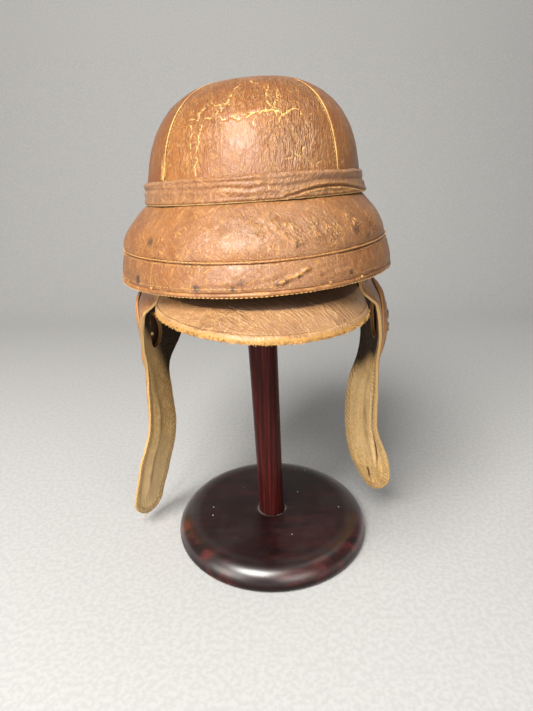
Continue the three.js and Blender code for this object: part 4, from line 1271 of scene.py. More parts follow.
def on_peak(share, reach, sink=0.0):
    """Points between the root under the rim and the rounded edge: straight out from one to the other, with
    the height falling by reach to a power and arched by a half sine. share runs from 0 to 1 along it."""
    turn = np.radians(PEAK_ROOT_TURN) * (2 * share - 1)
    root = on_wall(turn, PEAK_ROOT_INSET, rim_z(turn) - NEIGHBOUR_GAP)
    angle = np.pi * (share - 0.5)
    edge_x = PEAK_HALF_WIDTH * np.sin(angle) * (1 - PEAK_NARROWING * np.cos(angle))
    edge_y = PEAK_CORNER_Y - PEAK_REACH * np.cos(angle)
    edge_z = PEAK_CORNER_Z + (PEAK_FRONT_Z - PEAK_CORNER_Z) * np.cos(angle) - PEAK_LEAN * edge_x
    x = root[..., 0] + (edge_x - root[..., 0]) * reach
    y = root[..., 1] + (edge_y - root[..., 1]) * reach
    z = root[..., 2] + (edge_z - root[..., 2]) * reach**PEAK_DROOP
    z = z + PEAK_CAMBER * np.sin(reach * np.pi) - sink
    return stacked(x, y, z)


share = np.linspace(0, 1, steps(PEAK_ACROSS, 1.3, 4) + 1)[None, :]
reach = np.linspace(0, 1, steps(PEAK_DEPTH, 1.2, 4) + 1)[:, None]
base = on_peak(share, reach)
from_edge = np.linalg.norm(on_peak(share, 1 + 0 * reach) - base, axis=-1)
from_edge = np.minimum(from_edge, np.linalg.norm(on_peak(np.round(share), reach) - base, axis=-1))
line = bell(from_edge - PEAK_STITCHED, 0.8)
outer_hem = smooth_step(PEAK_STITCHED - from_edge, 0, 1.5)
slanting = base @ turn_about("Z", 42) * [1, 0.28, 1]
detail = (
    0.5 * lumps(base, 26, 111) + 0.26 * lumps(base, 9, 112) + 0.12 * lumps(base, 4, 113)
    + 0.34 * crumples(slanting, 11, 124) - 0.6 * line + 0.25 * outer_hem
    + 0.45 * bell(from_edge - PEAK_STITCHED + 2.2, 1.2)
)
edge_round = 1.3 * bell(from_edge, 1.1)
ragged_edge = 0.35 * lumps(base, 2.2, 116) * np.exp(-from_edge / 1.5)
top = base + UPRIGHT * (detail - edge_round + ragged_edge)[..., None]
lower = on_peak(share, reach, PEAK_THICKNESS)
lower[..., 2] += 1.0 * bell(from_edge, 1.3) - 0.35 * lumps(base, 20, 117) - 0.35
peak = add_wall("peak_leather", top, lower, 2, base[..., :2] * MM, {
    "relief": as_relief(detail - 0.5 * lumps(base, 26, 111), 0.8),
    "cut": 1.1 * bell(from_edge, 1.9 + 0.9 * lumps(base, 9, 125)),
    "scuff": 0.35 * bell(from_edge, 3.0) + 0.25 * patches(base, 15, 118, 0.3, 0.8),
    # Painted shadow of the rim: nearly black over the part of the peak nearest its root, with dirt in
    # patches.
    "soil_and_shade": 0.25 * patches(base, 24, 119, 0.4, 0.9) + 1.2 * (1 - smooth_step(reach, 0.51, 0.67))
    + 0.65 * line
    + 0.5 * patches(base, 3.5, 121, 0.2, 0.8) * bell(from_edge, 2.0),
    "rosy_and_sheen": 0.6 * patches(base, 38, 120, 0, 0.6),
    "crumple": 0.15 + 0.45 * patches(base, 20, 122, 0, 0.7),
})
peak.data.materials.append(leather(
    "peak_leather", PEAK_TAN, PEAK_DEEP, PEAK_GOLD, PEAK_ROSY,
    craze_cover=0.60, scratch_cover=0.34, gloss=0.36, cut_edge=PEAK_EDGE, run=(1.0, 0.3, 1.0), turned=-45))
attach(peak, "root")
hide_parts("peak")

across = np.linspace(0, 1, 400)
inset_reach = 1 - PEAK_STITCHED / np.linalg.norm(on_peak(across, 1.0) - on_peak(across, 0.0), axis=-1)
usable = inset_reach > 0.3
line = on_peak(across[usable], inset_reach[usable])
travelled = np.concatenate([[0], np.cumsum(np.linalg.norm(np.diff(line, axis=0), axis=1))])
at = np.arange(2, travelled[-1] - 2, PEAK_STITCH)
middles = np.stack([np.interp(at, travelled, line[:, axis]) for axis in range(3)], -1)
along = unit(np.gradient(middles, axis=0))
parts = [stitches(middles - 0.30 * UPRIGHT, along, UPRIGHT + 0 * middles, 2.2, 0.26)]

random = np.random.default_rng(12)
place = random.uniform(0.02, 0.98, FRAY_FIBRES)
where = on_peak(place, 1.0) - UPRIGHT * random.uniform(0.3, PEAK_THICKNESS - 0.4, (FRAY_FIBRES, 1))
outward = unit(on_peak(place, 1.0) - on_peak(place, 0.97))
heading = unit(outward + random.normal(0, 0.75, (FRAY_FIBRES, 3)))
length = random.uniform(0.6, 1.9, (FRAY_FIBRES, 1))
across = unit(np.cross(heading, UPRIGHT + random.normal(0, 0.3, (FRAY_FIBRES, 3))))
frayed = stitches(where + heading * length * 0.35, heading, across, 1.0, 0.22, 0.0)
spread = frayed[0].reshape(FRAY_FIBRES, -1, 3)
middle = (where + heading * length * 0.35)[:, None]
longwise = ((spread - middle) * heading[:, None]).sum(-1, keepdims=True)
spread = spread + heading[:, None] * longwise * (length[:, None] - 1)
parts.append((spread.reshape(-1, 3), frayed[1]))
peak_thread = add_sewing("peak_thread", parts, thread("frayed_thread", FRAY_PALE, FRAY_BROWN))
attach(peak_thread, "root")


# The ear flaps
# A long tongue of calf hangs from inside the rim on each side, bowed out at the top and narrow below, and its
# inner side is lined with tan suede. The edges of both are cut raw and sewn together with two rows of
# stitches. A round hole through each lets sound in to the ear, and the wearer's left one has a buttonhole.

FLAP_LINING = 1.6
FLAP_LAYER_GAP = 0.35
FLAP_LEATHER = 1.4
FLAP_END_RADIUS = 20
FLAP_TIP_WIDTH = 0.03
FLAP_FOLLOWS_RIM = 70
FLAP_THIN = 4
FLAP_CUT = {"left": (0.186, 0.270, 0.0208), "right": (0.186, 0.290, 0.0226)}
HEM = 8
HEM_ROWS = (2.4, 6.4)
HEM_STITCH = 2.9
EAR = {"drop": 60, "share": -0.06, "radius": 17}
BUTTONHOLE = {"drop": 237, "share": 0.12, "height": 13, "width": 3.4}
HOLE_CUTTER = 22
CREASE_FROM_EDGE = [(0, 3), (95, 4), (150, 6), (185, 8.5), (200, 12), (232, 17), (258, 19)]

# Each row is a cut across a flap: how far below the rim its middle is, where its front edge and its back edge
# are, each out to the side and towards the back, half of how much lower the back edge hangs, and how far it
# bows out.
FLAPS = {
    "left": {"sign": 1, "rows": [
        (0, 79, -74, 71, 85, 0, 25), (17, 79, -75, 84, 76, 0, 19), (33, 94, -67, 97, 62, 1, 11),
        (67, 100, -56, 107, 52, 6, 5.5), (97, 101, -39, 103, 40, 5, 4), (129, 104, -29, 90, 32, 5, 3.5),
        (174, 106, -20, 86, 33, 5, 2.5), (217, 119, -15, 92, 40, 8, 0.5), (258, 124, -8, 106, 40, 8, -3)]},
    "right": {"sign": -1, "rows": [
        (0, 80, -74, 71, 85, 0, 25), (12, 80, -71, 78, 82, 0, 22), (27, 96, -58, 86, 79, 0, 15),
        (67, 105, -36, 82, 77, 7, 8), (94, 107, -22, 97, 52, 10, 5), (121, 110, -14, 97, 43, 9, 4),
        (164, 116, -5, 97, 45, 9, 3), (209, 132, -2, 109, 52, 9, 2), (274, 148, 10, 128, 53, 9, 1)]},
}

# Each long fold: millimetres from the front edge, how far it stands out, how wide it is, and from which drop
# to which it runs.
FLAP_FOLDS = {
    "left": [
        (20, -1.1, 5, 95, 235), (29, 0.8, 5, 90, 215), (38, -0.8, 5, 80, 190), (12, -0.9, 3.5, 195, 250)],
    "right": [
        (12, 2.3, 4.5, 125, 262), (21, -2.0, 5, 115, 258), (33, 0.7, 7, 85, 190), (22, -0.9, 6, 80, 150)],
}

SUEDE_TAN = (0.680, 0.430, 0.170, 1)
SUEDE_BROWN = (0.500, 0.295, 0.110, 1)
SUEDE_PALE = (0.790, 0.560, 0.270, 1)
SUEDE_DARK = (0.200, 0.105, 0.042, 1)
SUEDE_PILE = (0.310, 0.170, 0.062, 1)
SUEDE_LIGHTER = (0.95, 0.70, 0.38, 1)
CUT_TAN = (0.56, 0.35, 0.14, 1)
FLAP_TAN = (0.330, 0.125, 0.036, 1)
FLAP_DEEP = (0.130, 0.043, 0.014, 1)
FLAP_GOLD = (0.540, 0.240, 0.070, 1)


def flap_rows(flap, drop):
    """A flap's row at each drop, on a Catmull-Rom curve. Between rows a and b the value is
    (2a - 2b + v0 + v1) t^3 + (3b - 3a - 2v0 - v1) t^2 + v0 t + a, where v0 is half the step from the row
    before a to b, and v1 half the step from a to the row beyond b."""
    rows = np.array(flap["rows"], float)
    place = np.interp(drop, rows[:, 0], np.arange(len(rows)))
    first = np.minimum(place.astype(int), len(rows) - 2)
    part = (place - first)[..., None]
    before, at, after, beyond = (rows[np.clip(first + step, 0, len(rows) - 1)] for step in (-1, 0, 1, 2))
    leaving, arriving = (after - before) / 2, (beyond - at) / 2
    cubed = (2 * at - 2 * after + leaving + arriving) * part**3
    return cubed + (3 * after - 3 * at - 2 * leaving - arriving) * part**2 + leaving * part + at


def flap_width(flap, drop):
    """The width at each drop, narrowed to the rounded end by the square root of 1 - past^2."""
    row = flap_rows(flap, drop)
    past = np.clip((drop - flap["rows"][-1][0]) / FLAP_END_RADIUS + 1, 0, 1)
    narrowed = np.maximum(FLAP_TIP_WIDTH, np.sqrt(1 - past**2))
    return np.linalg.norm(row[..., 3:5] - row[..., 1:3], axis=-1) * narrowed, narrowed


def flap_middle(flap, drop, share):
    """Points on the inner face of the lining. share is -1 at the front edge and 1 at the back one."""
    drop, share = np.broadcast_arrays(np.asarray(drop, float), share)
    row = flap_rows(flap, drop)
    front, chord = row[..., 1:3], row[..., 3:5] - row[..., 1:3]
    _, narrowed = flap_width(flap, drop)
    across = front + chord * (0.5 + share * narrowed / 2)[..., None]
    chord = unit(chord)
    bowed = row[..., 6] * (1 - (share * narrowed) ** 2)
    x = (across[..., 0] + chord[..., 1] * bowed) * flap["sign"]
    y = across[..., 1] - chord[..., 0] * bowed
    turn = np.arctan2(x / CROWN_HALF_WIDTH, -y / (CROWN_HALF_WIDTH + OVAL_EXTRA))
    z = -drop - row[..., 5] * share * narrowed - NEIGHBOUR_GAP
    z = z + rim_z(turn) * np.maximum(0, 1 - drop / FLAP_FOLLOWS_RIM)
    return stacked(x, y, z)


def folded_out(flap, drop, share):
    """How far the long folds stand out, in millimetres: a bell across each, fading in and out along it."""
    width, narrowed = flap_width(flap, drop)
    from_front = (share * narrowed + 1) / 2 * width / narrowed
    total = 0
    for place, height, width, start, end in FLAP_FOLDS["left" if flap["sign"] > 0 else "right"]:
        along = between(drop, start, start + 30, end - 25, end)
        total = total + height * along * bell(from_front - place, width)
    return total


def on_flap(flap, drop, share, out):
    """Points that stand out from the lining's inner face, along the flap's normal, but stay under the rim."""
    drop, share = np.broadcast_arrays(np.asarray(drop, float), share)
    end = flap["rows"][-1][0]
    above, below = np.maximum(drop - 0.5, 0), np.minimum(drop + 0.5, end)
    down = flap_middle(flap, below, share) - flap_middle(flap, above, share)
    back = flap_middle(flap, drop, share + 0.02) - flap_middle(flap, drop, share - 0.02)
    normal = np.cross(down, back)
    normal *= np.sign(normal[..., :1] * flap["sign"])
    normal = unit(normal)
    middle = flap_middle(flap, drop, share)
    ripple = 0.9 * lumps(middle, 42, 131) * smooth_step(drop, 5, 60) + folded_out(flap, drop, share)
    points = middle + normal * (out + ripple)[..., None]
    turn = np.arctan2(points[..., 0] / CROWN_HALF_WIDTH, -points[..., 1] / (CROWN_HALF_WIDTH + OVAL_EXTRA))
    points[..., 2] = np.minimum(points[..., 2], rim_z(turn) - NEIGHBOUR_GAP)
    return points, normal


def flap_edge(flap, inset, pitch):
    """Drops and shares evenly along a line that runs that far inside the edge: down the front, round the end
    and up the back. The outline is moved inwards on the flat, where it is drop down and width across."""
    end = flap["rows"][-1][0]
    drop = end * (1 - np.linspace(1, 0, 500) ** 1.8)
    half, _ = flap_width(flap, drop)
    outline = np.concatenate([stacked(-half / 2, drop), stacked(half / 2, drop)[::-1]])
    for _ in range(2):
        outline = evenly(outline, 700)
        along = unit(np.gradient(outline, axis=0))
        outline = outline + stacked(along[:, 1], -along[:, 0]) * inset / 2
    length = np.linalg.norm(np.diff(outline, axis=0), axis=1).sum()
    outline = evenly(outline, steps(length, pitch) + 1)
    outline = outline[(outline[:, 1] > 1.5) & (outline[:, 1] < end - inset * 0.9)]
    half, _ = flap_width(flap, outline[:, 1])
    return outline[:, 1], np.clip(outline[:, 0] / (half / 2), -0.98, 0.98)


def flap_grid(flap):
    """Drops and shares of a flap's grid. Its last rows go round the end by the sine of equal angles, and its
    columns are closer together towards the edges."""
    straight = flap["rows"][-1][0] - FLAP_END_RADIUS
    angle = np.linspace(0, np.pi / 2, 41)[1:]
    drop = np.concatenate([np.linspace(0, straight, 177), straight + FLAP_END_RADIUS * np.sin(angle)])
    even = np.linspace(-1, 1, 81)
    return drop[:, None], (1.25 * even - 0.25 * even**3)[None, :]


def from_flap_edge(flap, drop, share):
    """Millimetres in from the edge, on the flat."""
    drops = flap_grid(flap)[0][:, 0]
    half = flap_width(flap, drops)[0] / 2
    outline = np.concatenate([stacked(-half, drops)[::4], stacked(half, drops)[::-4]])
    width, _ = flap_width(flap, drop)
    return away_from(stacked(share * width / 2, drop), outline)


def cut_out(piece, cutters):
    """Cuts holes through a piece with closed cutters, and makes the mesh that is left its own."""
    points, faces = joined(cutters)
    cutter = add_piece("cutter", points, faces)
    cut = piece.modifiers.new("holes", "BOOLEAN")
    cut.operation = "DIFFERENCE"
    cut.solver = "EXACT"
    cut.object = cutter
    whole = piece.data
    evaluated = piece.evaluated_get(bpy.context.evaluated_depsgraph_get())
    piece.data = bpy.data.meshes.new_from_object(evaluated)
    piece.modifiers.clear()
    piece.data.shade_smooth()
    piece.data.set_sharp_from_angle(angle=np.radians(50))
    bpy.data.meshes.remove(whole)
    bpy.data.objects.remove(cutter)


def rod(middle, normal, outline, reach):
    """A closed rod along a normal. outline is a row of points, aside and up, in a ring."""
    aside = np.cross(UPRIGHT, normal)
    aside /= np.linalg.norm(aside)
    over = np.cross(normal, aside)
    ring = outline[:, :1] * aside + outline[:, 1:] * over
    ring = np.concatenate([ring, ring[:1]])
    rows = [middle - normal * reach + 0 * ring, middle - normal * reach + ring,
            middle + normal * reach + ring, middle + normal * reach + 0 * ring]
    return np.concatenate(rows), [grid_quads(4, len(ring))]


def circle(radius, count=48):
    angle = np.linspace(0, 2 * np.pi, count, endpoint=False)
    return radius * stacked(np.cos(angle), np.sin(angle))


def slot(height, width, count=14):
    """The outline of an upright slot with round ends."""
    angle = np.linspace(0, np.pi, count)
    end = width / 2 * stacked(np.cos(angle), np.sin(angle)) + [0, (height - width) / 2]
    return np.concatenate([end, -end])


def flap_cutters(side, flap):
    """Cutters for the ear's hole and the buttonhole, in metres in the frame."""
    holes = [(EAR, circle(EAR["radius"], 72))]
    if side == "left":
        holes.append((BUTTONHOLE, slot(BUTTONHOLE["height"], BUTTONHOLE["width"])))
    cutters = []
    for hole, outline in holes:
        middle, normal = on_flap(flap, hole["drop"], hole["share"], FLAP_LINING)
        points, faces = rod(middle, normal, outline, HOLE_CUTTER)
        cutters.append((on_head(points), faces))
    return cutters


def near_holes(side, flap, points):
    """1 beside a hole's cut edge, fading over a millimetre."""
    middle, normal = on_flap(flap, EAR["drop"], EAR["share"], FLAP_LINING)
    away = points - middle
    flat = away - (away * normal).sum(-1, keepdims=True) * normal
    far = np.abs(np.linalg.norm(flat, axis=-1) - EAR["radius"])
    if side == "left":
        middle, normal = on_flap(flap, BUTTONHOLE["drop"], BUTTONHOLE["share"], FLAP_LINING)
        away = points - middle
        straight = (BUTTONHOLE["height"] - BUTTONHOLE["width"]) / 2
        height = np.clip(away[..., 2:], -straight, straight) * [0, 0, 1]
        flat = away - height - ((away - height) * normal).sum(-1, keepdims=True) * normal
        far = np.minimum(far, np.abs(np.linalg.norm(flat, axis=-1) - BUTTONHOLE["width"] / 2))
    return bell(far, 0.9)


def painted_flap_shadow(side, drop, share, from_front):
    """The painted shadow of the rim and peak on the inner side, from 0 to 1: dark above a slanting
    line, lighter again by the front edge.
    """
    reaches, leans = (104, 11) if side == "left" else (77, 37)
    dark = 1 - smooth_step(drop - leans * share, reaches - 12, reaches + 12)
    return dark * (1 - 0.85 * bell(from_front, 5.5))


def suede():
    """Tan suede: a mottled nap that lies over in streaks, rubbed pale with painted highlight on its ridges,
    painted shade in its grooves, and nearly black under painted shadow.
    """
    material, tree, shader, here, skin = new_material("flap_suede")
    marks = {key: mark(tree, key) for key in ("relief", "soil_and_shade", "cut", "hem", "pale")}
    streaks = noise(tree, stretched(tree, skin, (420, 90, 1), 0), 1.0, 4, 0.6)
    blotch = noise(tree, here, 28, 5, 0.62)
    nap = noise(tree, here, 1400, 3, 0.7)
    pile = noise(tree, here, 420, 4, 0.65)
    colour = blended(tree, eased(tree, blotch, 0.36, 0.66), SUEDE_TAN, SUEDE_BROWN)
    colour = blended(tree, eased(tree, streaks, 0.42, 0.72, 0.0, 0.7), colour, SUEDE_PALE)
    colour = blended(tree, eased(tree, pile, 0.42, 0.66, 0.0, 0.75), colour, SUEDE_PILE)
    colour = blended(tree, eased(tree, nap, 0.45, 0.75, 0.0, 0.45), colour, SUEDE_PALE)
    colour = blended(tree, times(tree, marks["pale"], 0.75), colour, SUEDE_LIGHTER)
    # Painted shade in the grooves of the folds, and rubbing with painted highlight on their ridges.
    colour = blended(tree, eased(tree, marks["relief"], 0.10, 0.46, 0.85, 0.0), colour, SUEDE_DARK)
    colour = blended(tree, eased(tree, marks["relief"], 0.54, 0.9, 0.0, 0.5), colour, SUEDE_PALE)
    ribs = add_node(tree, "TexWave", {"Vector": skin, "Scale": 108.0, "Distortion": 3.0, "Detail": 2.0,
                                      "Detail Scale": 0.6}, bands_direction="DIAGONAL").outputs["Fac"]
    ribs = times(tree, ribs, marks["hem"])
    colour = blended(tree, times(tree, ribs, 0.55), colour, SUEDE_DARK)
    # Painted shadow: nearly black where the mesh's mark for it is high.
    soiled = times(tree, marks["soil_and_shade"], eased(tree, pile, 0.25, 0.6, 0.93, 1.0))
    colour = blended(tree, soiled, colour, PAINTED_SHADOW_BROWN)
    raw = uneven(tree, marks["cut"], pile, 0.5, 0.70, 1.0)
    colour = blended(tree, raw, colour, CUT_TAN)
    height = plus(tree, times(tree, pile, 0.6), times(tree, nap, 0.4))
    height = minus(tree, height, times(tree, ribs, 0.8))
    roughness = eased(tree, pile, 0.3, 0.7, 0.88, 0.99)
    finish_material(tree, shader, colour, roughness, bump(tree, height, 0.0005, 0.7))
    shader.inputs["Specular IOR Level"].default_value = 0.15
    return material


flap_suede = suede()
flap_leather = leather(
    "flap_leather", FLAP_TAN, FLAP_DEEP, FLAP_GOLD, LEATHER_ROSY_AND_SHEEN,
    craze_cover=0.52, scratch_cover=0.42, gloss=0.38, cut_edge=CUT_TAN)
for side, flap in FLAPS.items():
    drop, share = flap_grid(flap)
    end = flap["rows"][-1][0]
    width, _ = flap_width(flap, drop)
    across = share * width / 2
    from_edge = from_flap_edge(flap, drop, share)
    base = flap_middle(flap, drop, share)
    skin = stacked(across, drop) * MM
    in_hem = smooth_step(HEM - from_edge, -0.4, 0.6)
    rows = sum(bell(from_edge - row, 0.6) for row in HEM_ROWS)
    from_front = (share + 1) * width / 2
    lower = smooth_step(drop, 70, 130)

    ridges = 0.5 * lumps(base * [1, 1, 0.28], 9, 133) + 0.25 * lumps(base * [1, 1, 0.4], 4.5, 134)
    detail = (0.22 * lumps(base, 7, 135) + lower * ridges) * (1 - 0.6 * in_hem) - 0.35 * rows + 0.30 * in_hem
    detail = detail + 0.16 * lumps(base, 2.6, 136) * in_hem
    fold = np.interp(drop, *np.array(CREASE_FROM_EDGE).T) if side == "left" else 10 + 0.02 * drop
    to_fold = from_front - fold
    depth = between(drop, 40, 95, 205, 240) * (1.6 if side == "left" else 0.5)
    detail = detail - depth * bell(to_fold, 1.0) + 0.8 * depth * bell(to_fold - 4.5, 3.2)
    detail = detail + 0.45 * creases(base, across + 0 * drop, 5.0, 1.2, 138) * bell(drop - end + 10, 12)
    rounded = 0.5 * bell(from_edge, 0.8)
    pinched = bell(from_edge, 2.4)
    near, _ = on_flap(flap, drop, share, 0.35 * pinched - detail + rounded)
    far, _ = on_flap(flap, drop, share, FLAP_LINING - 0.10 * pinched)
    # Painted shadow of the rim and peak over the top of the lining.
    flap_shadow = painted_flap_shadow(side, drop + 6 * lumps(base, 26, 139), share, from_front)
    if side == "left":
        # Paler suede over the middle of the flap's length.
        pale = 0.35 * between(drop, 100, 130, 200, 235)
        # Painted shade along the deep crease of the wearer's left flap.
        flap_shadow = np.maximum(flap_shadow, 0.9 * bell(to_fold, 0.9) * depth / 1.6)
    else:
        # Paler suede towards the lower end.
        pale = 0.85 * smooth_step(drop, 140, 235)
    # The long folds also go into the relief, which paints shade in their grooves and highlight on their
    # ridges.
    standing = detail + 0.35 * folded_out(flap, drop, share)
    lining = add_wall(f"flap_suede_{side}", near, far, FLAP_THIN, skin, {
        "relief": as_relief(standing, 1.6), "soil_and_shade": flap_shadow, "hem": in_hem, "pale": pale,
        "cut": np.maximum(1.1 * bell(from_edge, 0.7), 0.8 * near_holes(side, flap, near)),
    })
    lining.data.materials.append(flap_suede)
    cut_out(lining, flap_cutters(side, flap))

    inner = FLAP_LINING + FLAP_LAYER_GAP
    detail = (0.20 * lumps(base, 14, 141) + 0.12 * lumps(base, 5, 142) - 0.35 * rows + 0.12 * in_hem
              - 0.6 * lower * ridges * 0.5)
    detail = detail + 0.25 * creases(base, across + 0.4 * drop, 7, 1.3, 143) * smooth_step(drop, 60, 120)
    far, _ = on_flap(flap, drop, share, inner + FLAP_LEATHER + detail - rounded - 0.55 * pinched)
    near, _ = on_flap(flap, drop, share, inner - 0.30 * pinched)
    leather_flap = add_wall(f"flap_leather_{side}", far, near, FLAP_THIN, skin, {
        "relief": as_relief(detail, 1.1),
        "cut": np.maximum(1.1 * bell(from_edge, 0.5), 0.7 * near_holes(side, flap, far)),
        # Darker for the first 6 to 22 mm below the rim, and in patches.
        "soil_and_shade": 0.5 * (1 - smooth_step(drop, 6, 22)) + 0.3 * patches(base, 20, 144, 0.4, 0.9),
        "scuff": 0.5 * patches(base, 13, 145, 0.5, 0.95), "rosy_and_sheen": patches(base, 36, 146, 0, 0.6),
    })
    leather_flap.data.materials.append(flap_leather)
    cut_out(leather_flap, flap_cutters(side, flap))

    width_cut, length_cut, area_cut = FLAP_CUT[side]
    for piece, node, material_slot in ((lining, f"flap_lining_{side}", "suede"),
                                       (leather_flap, f"ear_flap_{side}", "flap_leather")):
        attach(piece, "root")
        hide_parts(node)


# The flaps' stitching
# Two rows of linen stitches hold the lining to the leather all round. Wide ladder stitches hold the top to
# the rim, short ones close the buttonhole's edge, and the thread's end hangs from the tip of the wearer's
# right one.

LADDER_PITCH = 3.2
LADDER_LENGTH = 165
TAIL_LENGTH = 11
TAIL_HEADING = np.array([-0.45, 0.15, -0.85])
TAIL_CURL = np.array([-3.2, 0, 0])
FLAP_THREAD = (0.60, 0.41, 0.19, 1)
FLAP_THREAD_SOILED = (0.27, 0.15, 0.06, 1)

flap_thread = thread("flap_thread", FLAP_THREAD, FLAP_THREAD_SOILED)
for side, flap in FLAPS.items():
    parts, soil_and_shade = [], []
    outside = FLAP_LINING + FLAP_LAYER_GAP + FLAP_LEATHER
    for row in HEM_ROWS:
        drop, share = flap_edge(flap, row, HEM_STITCH)
        for level, facing in ((-0.15, -1), (outside - 0.10, 1)):
            middles, normals = on_flap(flap, drop, share, level)
            along = unit(np.gradient(middles, axis=0))
            parts.append(stitches(middles, along, facing * normals, 2.1, 0.36))
            # Painted shadow: the inner rows of stitches darken with the lining under the rim.
            dark = painted_flap_shadow(side, drop, share, (share + 1) * flap_width(flap, drop)[0] / 2) * (facing < 0)
            soil_and_shade.append(np.repeat(dark, len(parts[-1][0]) // len(dark)))
    share = np.arange(-0.97, 0.97, 2 * LADDER_PITCH / LADDER_LENGTH)
    for level, facing in ((-0.25, -1), (outside, 1)):
        middles, normals = on_flap(flap, 4.4 + 0 * share, share, level)
        upwards = unit(on_flap(flap, 3.4 + 0 * share, share + 0.006, level)[0] - middles)
        parts.append(stitches(middles, upwards, facing * normals, 4.6, 0.38))
    end = flap["rows"][-1][0]
    if side == "left":
        middle, normal = on_flap(flap, BUTTONHOLE["drop"], BUTTONHOLE["share"], -0.2)
        aside = np.cross(UPRIGHT, normal)
        aside /= np.linalg.norm(aside)
        outline = slot(BUTTONHOLE["height"] + 1.6, BUTTONHOLE["width"] + 1.6)
        outline = evenly(np.concatenate([outline, outline[:1]]), 33)[:-1]
        heading = unit(outline - outline * [0, 0.8])
        upright = np.cross(normal, aside)
        middles = middle + outline[:, :1] * aside + outline[:, 1:] * upright
        along = heading[:, :1] * aside + heading[:, 1:] * upright
        parts.append(stitches(middles, along, -normal + 0 * middles, 1.9, 0.30))
    else:
        tip = on_flap(flap, end - 0.5, 0.1, 1.2)[0]
        share = np.linspace(0, 1, 20)[:, None]
        hanging = tip + share * TAIL_LENGTH * TAIL_HEADING + TAIL_CURL * share**2
        hanging = hanging + 0.35 * np.concatenate([np.sin(9 * share), np.cos(8 * share), 0 * share], 1)
        parts.append(tube(hanging, 0.34, 7, (1, 0.3, 0)))
    clean = sum(len(points) for points, _ in parts) - sum(len(dark) for dark in soil_and_shade)
    soil_and_shade.append(np.zeros(clean))
    sewing = add_sewing(f"flap_thread_{side}", parts, flap_thread, {"soil_and_shade": np.concatenate(soil_and_shade)})
    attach(sewing, "root")


# The ear covers
# A domed oval of thicker calf is sewn over each ear hole, flat at its edge, with six brass vents in a ring.

COVER = {"half_height": 41, "half_width": 33, "dome": 5.5, "fullness": 0.8, "thickness": 1.6, "gap": 1}
COVER_RADIUS = 37
COVER_TOP_DROP = 1.5
COVER_THIN = 4
COVER_TAN = (0.360, 0.120, 0.030, 1)
COVER_DEEP = (0.120, 0.036, 0.012, 1)
COVER_GOLD = (0.560, 0.240, 0.065, 1)
COVER_CUT = (0.50, 0.22, 0.060, 1)
COVER_STITCHED = 3.2
VENTS = 6
VENT_RING = 12.5
VENT = {"bore": 2.3, "tube": 2.9, "flange": 4.4, "inside": 0.4}
VENT_CLEARANCE = 0.3
VENT_CUTTER = 9


def on_cover(flap, back, up, out):
    """Points on the ear cover, back and up from its middle: the dome is a quarter cosine to a power."""
    back, up = np.broadcast_arrays(np.asarray(back, float), up)
    drop = np.maximum(COVER_TOP_DROP, EAR["drop"] - up)
    row = flap_rows(flap, drop)
    share = EAR["share"] + 2 * back / np.linalg.norm(row[..., 3:5] - row[..., 1:3], axis=-1)
    ring = np.minimum(1, np.hypot(back / COVER["half_width"], up / COVER["half_height"]))
    dome = COVER["dome"] * np.maximum(0, np.cos(ring * np.pi / 2)) ** COVER["fullness"]
    flap_out = FLAP_LINING + FLAP_LAYER_GAP + FLAP_LEATHER + COVER["gap"]
    return on_flap(flap, drop, share, flap_out + dome + out)[0]


def on_cover_seam(flap, spoke, out):
    """Points on the line of stitches just inside the cover's edge, at angles round it."""
    held = 1 - COVER_STITCHED / COVER_RADIUS
    back, up = COVER["half_width"] * held * np.cos(spoke), COVER["half_height"] * held * np.sin(spoke)
    return on_cover(flap, back, up, COVER["thickness"] + out)


def vent_places(flap):
    """The middle and the outward direction of each vent."""
    for number in range(VENTS):
        spoke = (number + 0.5) * 2 * np.pi / VENTS
        back, up = VENT_RING * np.cos(spoke), VENT_RING * np.sin(spoke)
        middle = on_cover(flap, back, up, COVER["thickness"])
        backward = on_cover(flap, back + 1, up, COVER["thickness"]) - middle
        upward = on_cover(flap, back, up + 1, COVER["thickness"]) - middle
        normal = np.cross(backward, upward)
        normal *= np.sign(normal[0] * flap["sign"]) / np.linalg.norm(normal)
        yield middle, normal


